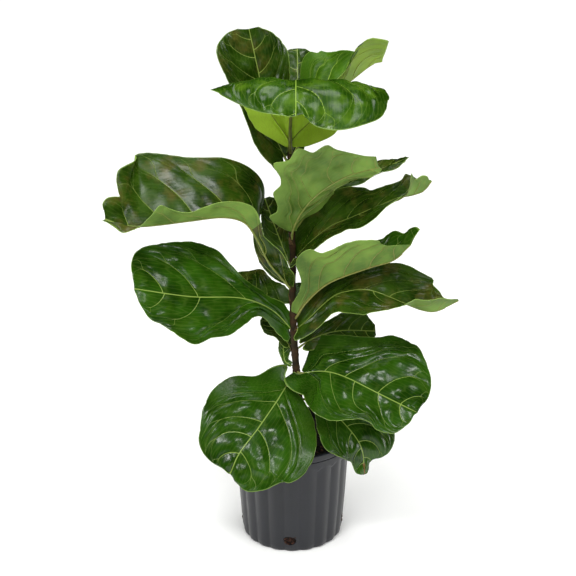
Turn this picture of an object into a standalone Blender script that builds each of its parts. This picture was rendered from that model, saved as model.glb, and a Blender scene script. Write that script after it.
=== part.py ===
# Potted fiddle leaf fig: one stem with its leaves, standing in soil in a ribbed nursery pot.
# Metres, +Z up, origin at the centre of the pot's base, the viewer on -Y.
import math

import bmesh
import bpy
from mathutils import Vector, noise

OBJECT_NAME = "potted_fiddle_leaf_fig"

# Gap kept between neighbouring pieces
GAP = 0.0003

# Pot: one moulded piece, read as an 11 inch (3 gallon) nursery pot
RIB_COUNT = 20
COLUMNS_PER_RIB = 3
RIB_DEPTH = 0.0025
RIB_BOTTOM_Z = 0.012
RIB_TOP_Z = 0.212
RIB_ARCH = 0.012
RIB_TURN_DEG = 8.5
WALL_THICKNESS = 0.0045
FLOOR_THICKNESS = 0.003
POT_FOOT_RADIUS = 0.104
POT_LOW_RADIUS = 0.114
POT_MIDDLE_RADIUS = 0.1205
POT_TOP_RADIUS = 0.1275
RIM_RADIUS = 0.130
RIM_BOTTOM_Z = 0.231
RIM_TOP_Z = 0.246
DRAIN_HOLE_WIDTH = 0.029
DRAIN_HOLE_HEIGHT = 0.022
DRAIN_HOLE_Z = 0.030
DRAIN_HOLE_TURNS_DEG = (-93, -3, 87, 177)

# Soil
SOIL_TOP_Z = 0.222
SOIL_LUMP = 0.0025
SOIL_COLUMNS = 30
STEM_HOLE_RADIUS = 0.0098
STEM_HOLE_DEPTH = 0.062

# Trunk
TRUNK_PATH = [
    (0.025, 0.0, 0.162),
    (0.025, 0.0, 0.235),
    (0.015, 0.0, 0.325),
    (0.005, 0.0, 0.445),
    (0.0, 0.0, 0.565),
    (0.0, 0.0, 0.68),
    (-0.005, 0.0, 0.795),
    (-0.005, 0.0, 0.89),
    (-0.005, 0.0, 0.905),
]
TRUNK_FOOT_RADIUS = 0.0085
TRUNK_TOP_RADIUS = 0.0055
NODE_SWELLING = 0.0012
NODE_HALF_HEIGHT = 0.007
BUD_LENGTH = 0.022
SCAR_HEIGHTS = (0.265, 0.295, 0.345, 0.56, 0.76, 0.81)

# Leaves
BLADE_THICKNESS = 0.0009
PETIOLE_RADIUS = 0.0028
RIB_TIP_RADIUS = 0.0008
RIB_REACH = 0.92
LOBE_SWEEP = 1.5
EDGE_WAVE = 0.004
EDGE_WAVES = 3.0

# Half outlines shared by the plainer leaves, as (along / length, across / half width)
FIDDLE = [(-0.035, 0.10), (-0.06, 0.24), (-0.02, 0.40), (0.10, 0.47), (0.24, 0.46), (0.38, 0.60),
          (0.54, 0.88), (0.70, 1.0), (0.84, 0.92), (0.94, 0.66), (0.99, 0.32)]
SMALL = [(-0.02, 0.10), (-0.03, 0.22), (0.02, 0.34), (0.12, 0.42), (0.26, 0.54), (0.42, 0.76),
         (0.56, 0.94), (0.68, 1.0), (0.82, 0.90), (0.93, 0.62), (0.99, 0.30)]

# Each leaf, from the top down. node is the height where its petiole leaves the trunk, path the way of
# petiole and midrib from there, blade the blade's length up to the path's end, and face the way the
# upper side looks, from blade base to tip. left and right are the half outlines as (along, across),
# seen from above with the tip away. fold lifts each half and curl bends it on (degrees, base to tip).
LEAVES = [
    {
        "name": "leaf_top_left",
        "node": 0.865,
        "path": [(-0.035, 0.01, 0.925), (-0.055, 0.015, 0.985), (-0.07, 0.02, 1.06), (-0.09, 0.04, 1.15)],
        "blade": 0.27,
        "face": [(0.3, -0.9, 0.3), (0.1, -0.95, 0.2), (0.1, -0.95, 0.2)],
        "left": [(-0.02, 0.01), (-0.03, 0.03), (-0.005, 0.04), (0.04, 0.05), (0.08, 0.05), (0.125, 0.055),
                 (0.18, 0.07), (0.225, 0.08), (0.25, 0.075), (0.27, 0.05), (0.275, 0.025)],
        "right": [(0, 0.008), (0.01, 0.015), (0.035, 0.03), (0.08, 0.045), (0.14, 0.06), (0.2, 0.07),
                  (0.225, 0.065), (0.25, 0.05), (0.27, 0.02)],
        "fold": (15, 20),
    },
    {
        "name": "leaf_top_back",
        "node": 0.87,
        "path": [(0.005, 0.06, 0.93), (0.01, 0.12, 1.0), (0.01, 0.17, 1.08)],
        "blade": 0.24,
        "face": [(0, -0.9, 0.3)],
        "outline": FIDDLE,
        "width": (0.055, 0.055),
    },
    {
        "name": "leaf_top_right",
        "node": 0.88,
        "path": [(0.02, 0.02, 0.925), (0.035, 0.025, 0.97), (0.07, 0.03, 1.01), (0.11, 0.035, 1.035),
                 (0.16, 0.04, 1.073), (0.185, 0.045, 1.08)],
        "blade": 0.225,
        "face": [(-0.6, -0.55, 0.5)],
        "left": [(0, 0.01), (0.02, 0.03), (0.05, 0.07), (0.08, 0.105), (0.095, 0.125), (0.105, 0.13),
                 (0.115, 0.12), (0.13, 0.12), (0.155, 0.095), (0.175, 0.075), (0.19, 0.055),
                 (0.205, 0.035), (0.215, 0.015), (0.225, 0.005)],
        "right": [(0, 0.01), (0.02, 0.03), (0.07, 0.035), (0.11, 0.04), (0.125, 0.045), (0.16, 0.07),
                  (0.19, 0.095), (0.2, 0.115), (0.205, 0.13), (0.21, 0.12), (0.22, 0.105), (0.225, 0.055),
                  (0.225, 0.01)],
        "fold": (0, 70),
    },
    {
        "name": "leaf_top_front",
        "node": 0.89,
        "path": [(-0.005, -0.01, 0.96), (0, -0.05, 1.035), (0.005, -0.11, 1.08), (0.005, -0.18, 1.075),
                 (0.005, -0.23, 1.04)],
        "blade": 0.345,
        "face": [(0, 1, 0.1), (0.1, 0.2, 1.0), (0.05, -0.9, 0.6)],
        "left": [(0, 0.01), (0, 0.04), (0.02, 0.085), (0.05, 0.105), (0.1, 0.115), (0.15, 0.14),
                 (0.2, 0.17), (0.25, 0.185), (0.3, 0.18), (0.335, 0.17), (0.36, 0.145), (0.38, 0.09),
                 (0.37, 0.04), (0.34, 0.012)],
        "right": [(0, 0.01), (0.02, 0.04), (0.05, 0.075), (0.1, 0.10), (0.15, 0.13), (0.2, 0.155),
                  (0.235, 0.17), (0.27, 0.155), (0.3, 0.125), (0.33, 0.075), (0.345, 0.035), (0.35, 0.012)],
        "fold": (10, 0),
        "curl": (-20, -25),
        "width": (0.165, 0.185),
    },
    {
        "name": "leaf_centre_front",
        "node": 0.69,
        "path": [(0, -0.01, 0.73), (0.02, -0.03, 0.78), (0.055, -0.06, 0.83), (0.11, -0.09, 0.875),
                 (0.175, -0.11, 0.9)],
        "blade": 0.28,
        "face": [(-0.2, 0.8, 0.4)],
        "left": [(0, 0.01), (0.02, 0.012), (0.05, 0.03), (0.09, 0.045), (0.13, 0.04), (0.16, 0.02),
                 (0.2, 0.03), (0.25, 0.025), (0.28, 0.012)],
        "right": [(0, 0.01), (0.01, 0.03), (0.035, 0.065), (0.05, 0.055), (0.07, 0.065), (0.09, 0.085),
                  (0.11, 0.085), (0.13, 0.105), (0.15, 0.145), (0.16, 0.135), (0.17, 0.125), (0.19, 0.135),
                  (0.2, 0.105), (0.22, 0.11), (0.23, 0.085), (0.26, 0.045), (0.285, 0.03)],
        "fold": (12, 0),
        "rows": 18,
    },
    {
        "name": "leaf_centre_back",
        "node": 0.72,
        "path": [(0.05, 0.05, 0.765), (0.135, 0.1, 0.805), (0.255, 0.14, 0.845)],
        "blade": 0.24,
        "face": [(0.1, 0.1, 1)],
        "outline": SMALL,
        "width": (0.05, 0.03),
    },
    {
        "name": "leaf_right_high",
        "node": 0.655,
        "path": [(0.035, -0.01, 0.7), (0.08, -0.015, 0.74), (0.12, -0.02, 0.76), (0.2, -0.03, 0.8),
                 (0.225, -0.03, 0.81), (0.25, -0.03, 0.815), (0.275, -0.03, 0.825), (0.29, -0.03, 0.845)],
        "blade": 0.345,
        "face": [(0, -0.2, 1)],
        "left": [(0, 0.01), (0.005, 0.02), (0.03, 0.03), (0.08, 0.04), (0.11, 0.05), (0.125, 0.07),
                 (0.14, 0.08), (0.155, 0.08), (0.195, 0.065), (0.21, 0.05), (0.235, 0.045), (0.26, 0.035),
                 (0.275, 0.04), (0.285, 0.055), (0.295, 0.055), (0.315, 0.04), (0.335, 0.02),
                 (0.345, 0.005)],
        "right": [(0, 0.01), (-0.02, 0.02), (-0.01, 0.035), (0.03, 0.045), (0.055, 0.055), (0.09, 0.07),
                  (0.115, 0.08), (0.135, 0.075), (0.15, 0.06), (0.175, 0.075), (0.2, 0.07), (0.225, 0.055),
                  (0.245, 0.035), (0.26, 0.02), (0.275, 0.02), (0.29, 0.045), (0.305, 0.07),
                  (0.315, 0.065), (0.33, 0.045), (0.345, 0.03), (0.35, 0.015), (0.345, 0.005)],
        "fold": (25, (10, 10, 10, 10, 10, 10, 15, 70, 85)),
    },
    {
        "name": "leaf_right_under",
        "node": 0.515,
        "path": [(0.025, -0.02, 0.565), (0.075, -0.05, 0.625), (0.155, -0.08, 0.67), (0.21, -0.085, 0.69),
                 (0.245, -0.09, 0.725)],
        "blade": 0.325,
        "face": [(-0.4, 0.1, 1), (-0.2, 0.1, 1), (-0.2, 0.1, 1)],
        "left": [(0, 0.01), (0.03, 0.03), (0.08, 0.04), (0.14, 0.06), (0.2, 0.075), (0.24, 0.06),
                 (0.265, 0.055), (0.285, 0.06), (0.31, 0.06), (0.325, 0.04), (0.34, 0.04), (0.355, 0.03),
                 (0.36, 0.015)],
        "right": [(0, 0.01), (0.02, 0.02), (0.05, 0.03), (0.085, 0.045), (0.11, 0.085), (0.14, 0.10),
                  (0.155, 0.08), (0.19, 0.075), (0.22, 0.075), (0.25, 0.07), (0.275, 0.06), (0.295, 0.035),
                  (0.315, 0.01)],
        "fold": (45, 65),
    },
    {
        "name": "leaf_right_long",
        "node": 0.49,
        "path": [(0.04, -0.02, 0.535), (0.08, -0.03, 0.58), (0.11, -0.04, 0.6), (0.165, -0.055, 0.61),
                 (0.24, -0.07, 0.585), (0.275, -0.08, 0.575), (0.305, -0.085, 0.575), (0.35, -0.09, 0.6)],
        "blade": 0.405,
        "face": [(0, -0.5, 0.85)],
        "left": [(0, 0.01), (0.02, 0.015), (0.06, 0.02), (0.1, 0.03), (0.14, 0.035), (0.17, 0.045),
                 (0.2, 0.06), (0.235, 0.09), (0.265, 0.095), (0.3, 0.09), (0.33, 0.085), (0.355, 0.07),
                 (0.37, 0.05), (0.375, 0.03), (0.39, 0.015), (0.405, 0.005)],
        "right": [(0, 0.01), (-0.02, 0.02), (-0.005, 0.03), (0.035, 0.035), (0.06, 0.035), (0.08, 0.035),
                  (0.105, 0.04), (0.145, 0.055), (0.2, 0.065), (0.23, 0.06), (0.26, 0.05), (0.29, 0.06),
                  (0.32, 0.06), (0.375, 0.05), (0.39, 0.025), (0.405, 0.005)],
        "fold": (0, (0, 0, 0, 0, 0, 20, 70, 85, 85)),
    },
    {
        "name": "leaf_right_small",
        "node": 0.445,
        "path": [(0.045, 0.02, 0.465), (0.105, 0.04, 0.475), (0.185, 0.05, 0.47)],
        "blade": 0.16,
        "face": [(0, -0.7, 0.7)],
        "outline": FIDDLE,
        "width": (0.05, 0.035),
    },
    {
        "name": "leaf_left_high",
        "node": 0.59,
        "path": [(-0.025, -0.01, 0.625), (-0.05, -0.03, 0.665), (-0.075, -0.05, 0.725), (-0.1, -0.06, 0.765),
                 (-0.145, -0.07, 0.78), (-0.215, -0.08, 0.775), (-0.275, -0.09, 0.77),
                 (-0.315, -0.1, 0.77), (-0.35, -0.105, 0.775), (-0.385, -0.11, 0.79)],
        "blade": 0.5,
        "face": [(0.5, 0.6, 0.6), (0.5, 0.6, 0.6), (0.3, 0.3, 0.9), (0, 0, 1), (0, 0, 1), (0, 0, 1),
                 (0, -0.3, 1)],
        "left": [(0, 0.01), (0.03, 0.025), (0.06, 0.035), (0.09, 0.03), (0.12, 0.025), (0.15, 0.015),
                 (0.175, 0.015), (0.195, 0.03), (0.21, 0.045), (0.23, 0.055), (0.255, 0.06),
                 (0.285, 0.055), (0.325, 0.04), (0.36, 0.055), (0.385, 0.075), (0.4, 0.065), (0.41, 0.045),
                 (0.425, 0.025), (0.44, 0.02), (0.46, 0.02), (0.475, 0.01), (0.495, 0.005),
                 (0.505, 0.005)],
        "right": [(0, 0.01), (0.03, 0.02), (0.07, 0.02), (0.1, 0.03), (0.13, 0.05), (0.155, 0.085),
                  (0.18, 0.1), (0.2, 0.125), (0.24, 0.135), (0.275, 0.14), (0.32, 0.15), (0.37, 0.155),
                  (0.4, 0.155), (0.435, 0.15), (0.475, 0.14), (0.5, 0.12), (0.505, 0.09), (0.495, 0.065),
                  (0.475, 0.04), (0.495, 0.045), (0.505, 0.045), (0.51, 0.035), (0.515, 0.025),
                  (0.51, 0.01)],
        "fold": ((0, 0, 0, 22, 45, 48, 50, 50, 50, 50, 40, -10, -20), (0, 0, 50, 50, 50, 50, 45)),
        "rows": 18,
    },
    {
        "name": "leaf_left_inner",
        "node": 0.63,
        "path": [(-0.02, 0.025, 0.675), (-0.04, 0.04, 0.725), (-0.06, 0.055, 0.78)],
        "blade": 0.145,
        "face": [(0, -0.8, 0.5)],
        "outline": SMALL,
        "width": (0.03, 0.04),
    },
    {
        "name": "leaf_left_mid",
        "node": 0.49,
        "path": [(-0.045, -0.02, 0.55), (-0.11, -0.05, 0.59), (-0.215, -0.09, 0.61), (-0.33, -0.12, 0.64)],
        "blade": 0.385,
        "face": [(0, -0.75, 0.65)],
        "left": [(0, 0.01), (-0.02, 0.02), (-0.005, 0.03), (0.04, 0.03), (0.065, 0.025), (0.085, 0.025),
                 (0.11, 0.035), (0.14, 0.06), (0.185, 0.085), (0.225, 0.09), (0.255, 0.105), (0.28, 0.095),
                 (0.32, 0.07), (0.345, 0.06), (0.37, 0.03), (0.38, 0.01)],
        "right": [(0, 0.01), (0.02, 0.015), (0.05, 0.02), (0.08, 0.015), (0.125, 0.03), (0.15, 0.05),
                  (0.17, 0.08), (0.19, 0.11), (0.235, 0.125), (0.285, 0.12), (0.335, 0.11), (0.38, 0.09),
                  (0.395, 0.055), (0.39, 0.02)],
    },
    {
        "name": "leaf_left_back",
        "node": 0.53,
        "path": [(-0.045, 0.04, 0.55), (-0.095, 0.09, 0.555), (-0.15, 0.14, 0.555)],
        "blade": 0.175,
        "face": [(0, -0.4, 0.9)],
        "outline": FIDDLE,
        "width": (0.06, 0.07),
    },
    {
        "name": "leaf_low_mid",
        "node": 0.435,
        "path": [(-0.015, 0.01, 0.465), (-0.035, 0.02, 0.49), (-0.06, 0.03, 0.52)],
        "blade": 0.085,
        "face": [(0.1, -0.6, 0.7)],
        "outline": FIDDLE,
        "width": (0.03, 0.04),
    },
    {
        "name": "leaf_low_small",
        "node": 0.405,
        "path": [(-0.015, 0.005, 0.415), (-0.02, 0.01, 0.435), (-0.02, 0.02, 0.465)],
        "blade": 0.065,
        "face": [(0.1, -0.8, 0.4)],
        "outline": FIDDLE,
        "width": (0.012, 0.02),
    },
    {
        "name": "leaf_low_left",
        "node": 0.37,
        "path": [(-0.01, -0.005, 0.365), (-0.035, -0.05, 0.345), (-0.075, -0.1, 0.305),
                 (-0.115, -0.14, 0.265), (-0.135, -0.16, 0.225)],
        "blade": 0.24,
        "face": [(0.1, -0.8, 0.6)],
        "left": [(-0.01, 0.005), (0, 0.035), (0.03, 0.085), (0.055, 0.11), (0.09, 0.13), (0.13, 0.14),
                 (0.17, 0.13), (0.22, 0.105), (0.25, 0.07), (0.26, 0.045), (0.25, 0.015)],
        "right": [(-0.01, 0.005), (-0.025, 0.02), (-0.035, 0.035), (-0.025, 0.05), (0.005, 0.065),
                  (0.025, 0.075), (0.04, 0.1), (0.065, 0.125), (0.115, 0.13), (0.165, 0.12),
                  (0.185, 0.105), (0.21, 0.085), (0.23, 0.05), (0.235, 0.02), (0.24, 0.005)],
    },
    {
        "name": "leaf_low_right",
        "node": 0.395,
        "path": [(0.02, -0.02, 0.4), (0.07, -0.055, 0.42), (0.115, -0.085, 0.42), (0.185, -0.125, 0.4),
                 (0.265, -0.155, 0.37)],
        "blade": 0.285,
        "face": [(0.1, -0.7, 0.7)],
        "left": [(-0.01, 0.005), (-0.03, 0.045), (0.015, 0.06), (0.075, 0.095), (0.115, 0.11),
                 (0.15, 0.14), (0.205, 0.14), (0.225, 0.135), (0.255, 0.11), (0.28, 0.08), (0.29, 0.045),
                 (0.285, 0.015)],
        "right": [(-0.01, 0.005), (-0.04, 0.01), (-0.045, 0.015), (-0.03, 0.03), (-0.005, 0.045),
                  (0.035, 0.065), (0.07, 0.09), (0.135, 0.1), (0.17, 0.08), (0.195, 0.07), (0.21, 0.07),
                  (0.225, 0.075), (0.25, 0.07), (0.265, 0.06), (0.28, 0.03), (0.28, 0.01)],
    },
    {
        "name": "leaf_low_hang",
        "node": 0.325,
        "path": [(0.03, 0, 0.325), (0.065, -0.03, 0.325), (0.11, -0.06, 0.3), (0.15, -0.08, 0.25),
                 (0.16, -0.08, 0.18)],
        "blade": 0.215,
        "face": [(0.3, -0.8, 0.5)],
        "left": [(-0.01, 0.01), (0, 0.04), (0.04, 0.07), (0.09, 0.095), (0.13, 0.095), (0.155, 0.085),
                 (0.17, 0.07), (0.18, 0.055), (0.185, 0.04), (0.185, 0.025), (0.195, 0.015), (0.21, 0.01),
                 (0.215, 0.005)],
        "right": [(0, 0.01), (0.02, 0.03), (0.05, 0.055), (0.09, 0.07), (0.13, 0.06), (0.165, 0.04),
                  (0.175, 0.03), (0.195, 0.025), (0.205, 0.02), (0.21, 0.01)],
    },
]

# Scene and shared helpers
for old_object in list(bpy.data.objects):
    bpy.data.objects.remove(old_object, do_unlink=True)

plant_collection = bpy.data.collections.new(OBJECT_NAME)
bpy.context.scene.collection.children.link(plant_collection)
cutter_collection = bpy.data.collections.new("cutters")
bpy.context.scene.collection.children.link(cutter_collection)
cutter_collection.hide_render = True


def make_material(name, color, roughness):
    material = bpy.data.materials.new(name)
    material.use_nodes = True
    shader = material.node_tree.nodes["Principled BSDF"]
    shader.inputs["Base Color"].default_value = (*color, 1.0)
    shader.inputs["Roughness"].default_value = roughness
    material.diffuse_color = (*color, 1.0)
    return material


def add_piece(name, mesh, material):
    piece = bpy.data.objects.new(name, mesh)
    plant_collection.objects.link(piece)
    mesh.materials.clear()
    mesh.materials.append(material)
    mesh.shade_smooth()
    mesh.set_sharp_from_angle(angle=math.radians(40))
    return piece


def add_cutter(name, mesh):
    cutter = bpy.data.objects.new(name, mesh)
    cutter_collection.objects.link(cutter)
    cutter.display_type = "WIRE"
    cutter.hide_render = True
    return cutter


def add_boolean(piece, name, cutter, operation):
    modifier = piece.modifiers.new(name, "BOOLEAN")
    modifier.operation = operation
    modifier.solver = "EXACT"
    modifier.object = cutter


def smooth_line(points, count):
    """Points evenly spaced on a smooth line through the given ones, and the line's length."""
    given = [Vector(p) for p in points]
    given = [2 * given[0] - given[1]] + given + [2 * given[-1] - given[-2]]
    dense = []
    for i in range(1, len(given) - 2):
        a, b, c, d = given[i - 1:i + 3]
        for step in range(24):
            t = step / 24
            dense.append(0.5 * (2 * b + (c - a) * t + (2 * a - 5 * b + 4 * c - d) * t ** 2
                                + (3 * b - a - 3 * c + d) * t ** 3))
    dense.append(given[-2])
    travelled = [0.0]
    for first, second in zip(dense, dense[1:]):
        travelled.append(travelled[-1] + (second - first).length)
    total = travelled[-1]
    line = []
    k = 0
    for i in range(count):
        goal = total * i / (count - 1)
        while k < len(dense) - 2 and travelled[k + 1] < goal:
            k += 1
        share = (goal - travelled[k]) / (travelled[k + 1] - travelled[k])
        line.append(dense[k].lerp(dense[k + 1], share))
    return line, total


def value_at(values, x):
    """Value at x (0 base to 1 tip) among evenly spaced ones; a single value holds all along."""
    if not isinstance(values, (list, tuple)):
        return values
    place = min(max(x, 0.0), 1.0) * (len(values) - 1)
    k = min(int(place), len(values) - 2)
    if len(values) == 1:
        return values[0]
    return values[k] + (values[k + 1] - values[k]) * (place - k)


def make_tube(name, points, radii, resolution):
    """Closed tube through the points, as a mesh made from a bevelled curve."""
    curve = bpy.data.curves.new(name, "CURVE")
    curve.dimensions = "3D"
    curve.twist_mode = "MINIMUM"
    curve.bevel_depth = 1.0
    curve.bevel_resolution = resolution
    curve.use_fill_caps = True
    line = curve.splines.new("POLY")
    line.points.add(len(points) - 1)
    for k, (place, radius) in enumerate(zip(points, radii)):
        line.points[k].co = (*place, 1.0)
        line.points[k].radius = radius
    tube = bpy.data.objects.new(name, curve)
    cutter_collection.objects.link(tube)
    bpy.context.view_layer.update()
    evaluated = tube.evaluated_get(bpy.context.evaluated_depsgraph_get())
    mesh = bpy.data.meshes.new_from_object(evaluated)
    bpy.data.objects.remove(tube, do_unlink=True)
    bpy.data.curves.remove(curve)
    shell = bmesh.new()
    shell.from_mesh(mesh)
    bmesh.ops.remove_doubles(shell, verts=shell.verts, dist=0.00001)
    bmesh.ops.recalc_face_normals(shell, faces=shell.faces)
    shell.to_mesh(mesh)
    shell.free()
    return mesh


def wrap_profile(profile, columns, shape=None):
    """Closed body whose profile of (radius, height) starts and ends on the Z axis."""
    shell = bmesh.new()
    rings = []
    for row, (radius, height) in enumerate(profile):
        if radius == 0:
            rings.append([shell.verts.new((0, 0, height))] * columns)
            continue
        ring = []
        for column in range(columns):
            turn = 2 * math.pi * column / columns
            r, z = (radius, height) if shape is None else shape(row, radius, height, turn)
            ring.append(shell.verts.new((r * math.sin(turn), -r * math.cos(turn), z)))
        rings.append(ring)
    for low, high in zip(rings, rings[1:]):
        for column in range(columns):
            after = (column + 1) % columns
            corners = [low[column], low[after], high[after], high[column]]
            corners = list(dict.fromkeys(corners))
            shell.faces.new(corners)
    bmesh.ops.recalc_face_normals(shell, faces=shell.faces)
    mesh = bpy.data.meshes.new("wrapped")
    shell.to_mesh(mesh)
    shell.free()
    return mesh


# Pot
pot_profile = [
    (0, 0),
    (POT_FOOT_RADIUS, 0),
    (0.1105, 0.0035),
    (POT_LOW_RADIUS, RIB_BOTTOM_Z),
    (0.1152, 0.026),
    (POT_MIDDLE_RADIUS, 0.10),
    (0.1259, RIB_TOP_Z - RIB_ARCH),
    (0.1263, RIB_TOP_Z - RIB_ARCH / 3),
    (0.1266, RIB_TOP_Z + 0.001),
    (POT_TOP_RADIUS, RIM_BOTTOM_Z - 0.003),
    (POT_TOP_RADIUS - 0.0012, RIM_BOTTOM_Z - 0.0015),
    (RIM_RADIUS - 0.001, RIM_BOTTOM_Z),
    (RIM_RADIUS, RIM_BOTTOM_Z + 0.002),
    (RIM_RADIUS, RIM_TOP_Z - 0.002),
    (RIM_RADIUS - 0.0012, RIM_TOP_Z),
    (POT_TOP_RADIUS - 0.0022, RIM_TOP_Z),
    (POT_TOP_RADIUS - WALL_THICKNESS, RIM_TOP_Z - 0.003),
    (POT_MIDDLE_RADIUS - WALL_THICKNESS, 0.10),
    (POT_LOW_RADIUS - WALL_THICKNESS, 0.014),
    (POT_FOOT_RADIUS - WALL_THICKNESS, FLOOR_THICKNESS),
    (0, FLOOR_THICKNESS),
]
# share of the rib depth that each outer row shows, from the scalloped foot to the arched top
RIB_SHARES = {3: 0.4, 4: 1.0, 5: 1.0, 6: 1.0, 7: 0.75}


def ribbed_wall(row, radius, height, turn):
    ribs_along = turn - math.radians(RIB_TURN_DEG)
    across = (ribs_along * RIB_COUNT / (2 * math.pi)) % 1.0
    crease = (2 * across - 1) ** 2
    if row == 7:
        height += RIB_ARCH * 0.5 * (0.5 - crease)
    return radius - RIB_DEPTH * RIB_SHARES.get(row, 0.0) * crease, height


pot_mesh = wrap_profile(pot_profile, RIB_COUNT * COLUMNS_PER_RIB, ribbed_wall)
pot = add_piece("pot", pot_mesh, make_material("pot_plastic", (0.06, 0.065, 0.075), 0.5))

drill = bmesh.new()
for turn_deg in DRAIN_HOLE_TURNS_DEG:
    made = bmesh.ops.create_cone(drill, cap_ends=True, segments=16, radius1=0.5, radius2=0.5, depth=0.03)
    turn = math.radians(turn_deg)
    for corner in made["verts"]:
        across, up, out = corner.co.x * DRAIN_HOLE_WIDTH, corner.co.y * DRAIN_HOLE_HEIGHT, corner.co.z
        reach = POT_LOW_RADIUS + out
        corner.co = Vector((reach * math.sin(turn) + across * math.cos(turn),
                            -reach * math.cos(turn) + across * math.sin(turn),
                            DRAIN_HOLE_Z + up))
bmesh.ops.recalc_face_normals(drill, faces=drill.faces)
drill_mesh = bpy.data.meshes.new("drain_holes")
drill.to_mesh(drill_mesh)
drill.free()
add_boolean(pot, "drain_holes", add_cutter("drain_holes", drill_mesh), "DIFFERENCE")


# Soil
def soil_radius(wall_radius):
    return wall_radius - WALL_THICKNESS - GAP - 0.0002


wall_share = (SOIL_TOP_Z - 0.004 - 0.10) / (RIM_TOP_Z - 0.003 - 0.10)
wall_at_soil_top = POT_MIDDLE_RADIUS + (POT_TOP_RADIUS - POT_MIDDLE_RADIUS) * wall_share


soil_profile = [
    (0, FLOOR_THICKNESS + GAP),
    (soil_radius(POT_FOOT_RADIUS) - 0.001, FLOOR_THICKNESS + GAP),
    (soil_radius(POT_LOW_RADIUS), 0.014 + GAP),
    (soil_radius(POT_MIDDLE_RADIUS), 0.10),
    (soil_radius(wall_at_soil_top), SOIL_TOP_Z - 0.004),
    (0.11, SOIL_TOP_Z),
    (0.085, SOIL_TOP_Z),
    (0.05, SOIL_TOP_Z),
    (0, SOIL_TOP_Z),
]


def lumpy_top(row, radius, height, turn):
    if row < 5:
        return radius, height
    place = Vector((radius * math.sin(turn), radius * math.cos(turn), 0.3)) * 45
    return radius, height + SOIL_LUMP * noise.noise(place)


soil_mesh = wrap_profile(soil_profile, SOIL_COLUMNS, lumpy_top)
soil_shell = bmesh.new()
soil_shell.from_mesh(soil_mesh)
bmesh.ops.triangulate(soil_shell, faces=soil_shell.faces)
soil_shell.to_mesh(soil_mesh)
soil_shell.free()
soil = add_piece("soil", soil_mesh, make_material("potting_soil", (0.03, 0.02, 0.012), 0.95))
stem_hole = bmesh.new()
bmesh.ops.create_cone(stem_hole, cap_ends=True, segments=16, radius1=STEM_HOLE_RADIUS,
                      radius2=STEM_HOLE_RADIUS, depth=2 * STEM_HOLE_DEPTH)
bmesh.ops.translate(stem_hole, verts=stem_hole.verts, vec=(TRUNK_PATH[0][0], 0, SOIL_TOP_Z))
stem_hole_mesh = bpy.data.meshes.new("stem_hole")
stem_hole.to_mesh(stem_hole_mesh)
stem_hole.free()
add_boolean(soil, "stem_hole", add_cutter("stem_hole", stem_hole_mesh), "DIFFERENCE")

# Trunk
trunk_line, trunk_length = smooth_line(TRUNK_PATH, 120)
node_heights = [leaf["node"] for leaf in LEAVES] + list(SCAR_HEIGHTS)


def trunk_axis(height):
    for low, high in zip(trunk_line, trunk_line[1:]):
        if height <= high.z:
            return low.lerp(high, max(height - low.z, 0.0) / (high.z - low.z))
    return trunk_line[-1].copy()


def trunk_radius(height):
    share = (height - TRUNK_PATH[1][2]) / (TRUNK_PATH[-1][2] - TRUNK_PATH[1][2])
    return TRUNK_FOOT_RADIUS + (TRUNK_TOP_RADIUS - TRUNK_FOOT_RADIUS) * min(max(share, 0.0), 1.0)


stations = {TRUNK_PATH[0][2]: 0.0, 0.20: 0.0, 0.235: 0.0}
for height in node_heights:
    stations[round(height, 4)] = NODE_SWELLING
for height in node_heights:
    for edge in (height - NODE_HALF_HEIGHT, height + NODE_HALF_HEIGHT):
        if all(abs(edge - other) > 0.8 * NODE_HALF_HEIGHT for other in stations):
            stations[round(edge, 4)] = 0.0
trunk_points = [trunk_axis(height) for height in sorted(stations)]
trunk_radii = [trunk_radius(height) + stations[height] for height in sorted(stations)]
bud_base = TRUNK_PATH[-1][2]
bud_shape = ((0.1, 1.0), (0.4, 0.75), (0.75, 0.4), (1.0, 0.1))
trunk_points += [Vector((TRUNK_PATH[-1][0], 0, bud_base + share * BUD_LENGTH)) for share, _ in bud_shape]
trunk_radii += [TRUNK_TOP_RADIUS * size for _, size in bud_shape]
trunk_mesh = make_tube("trunk", trunk_points, trunk_radii, 2)
trunk = add_piece("trunk", trunk_mesh, make_material("fig_bark", (0.16, 0.09, 0.06), 0.8))

# Room around the trunk that the petioles stop at
room_radii = [radius + GAP / math.cos(math.pi / 8) for radius in trunk_radii]
trunk_room = add_cutter("trunk_room", make_tube("trunk_room", trunk_points, room_radii, 2))


# Leaves
def half_outline(leaf, side):
    """Half outline in metres: side 0 left, 1 right."""
    if "outline" in leaf:
        width = leaf["width"][side]
        return [(along * leaf["blade"], across * width) for along, across in leaf["outline"]]
    return leaf["right" if side else "left"]


def midrib_frame(leaf, line, total, along):
    """Midrib point, direction, upper normal and right side, along metres past the blade's base."""
    travelled = total - leaf["blade"] + along
    place = min(max(travelled / total, 0.0), 1.0) * (len(line) - 1)
    k = min(int(place), len(line) - 2)
    point = line[k].lerp(line[k + 1], place - k)
    before = line[max(k - 1, 0)]
    after = line[min(k + 2, len(line) - 1)]
    direction = (after - before).normalized()
    if travelled > total:
        point += direction * (travelled - total)
    face = leaf["face"]
    spot = min(max(along / leaf["blade"], 0.0), 1.0) * (len(face) - 1)
    j = min(int(spot), max(len(face) - 2, 0))
    upper = Vector(face[j]).lerp(Vector(face[min(j + 1, len(face) - 1)]), spot - j)
    upper = (upper - direction * upper.dot(direction)).normalized()
    return point, direction, upper, direction.cross(upper)


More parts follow.
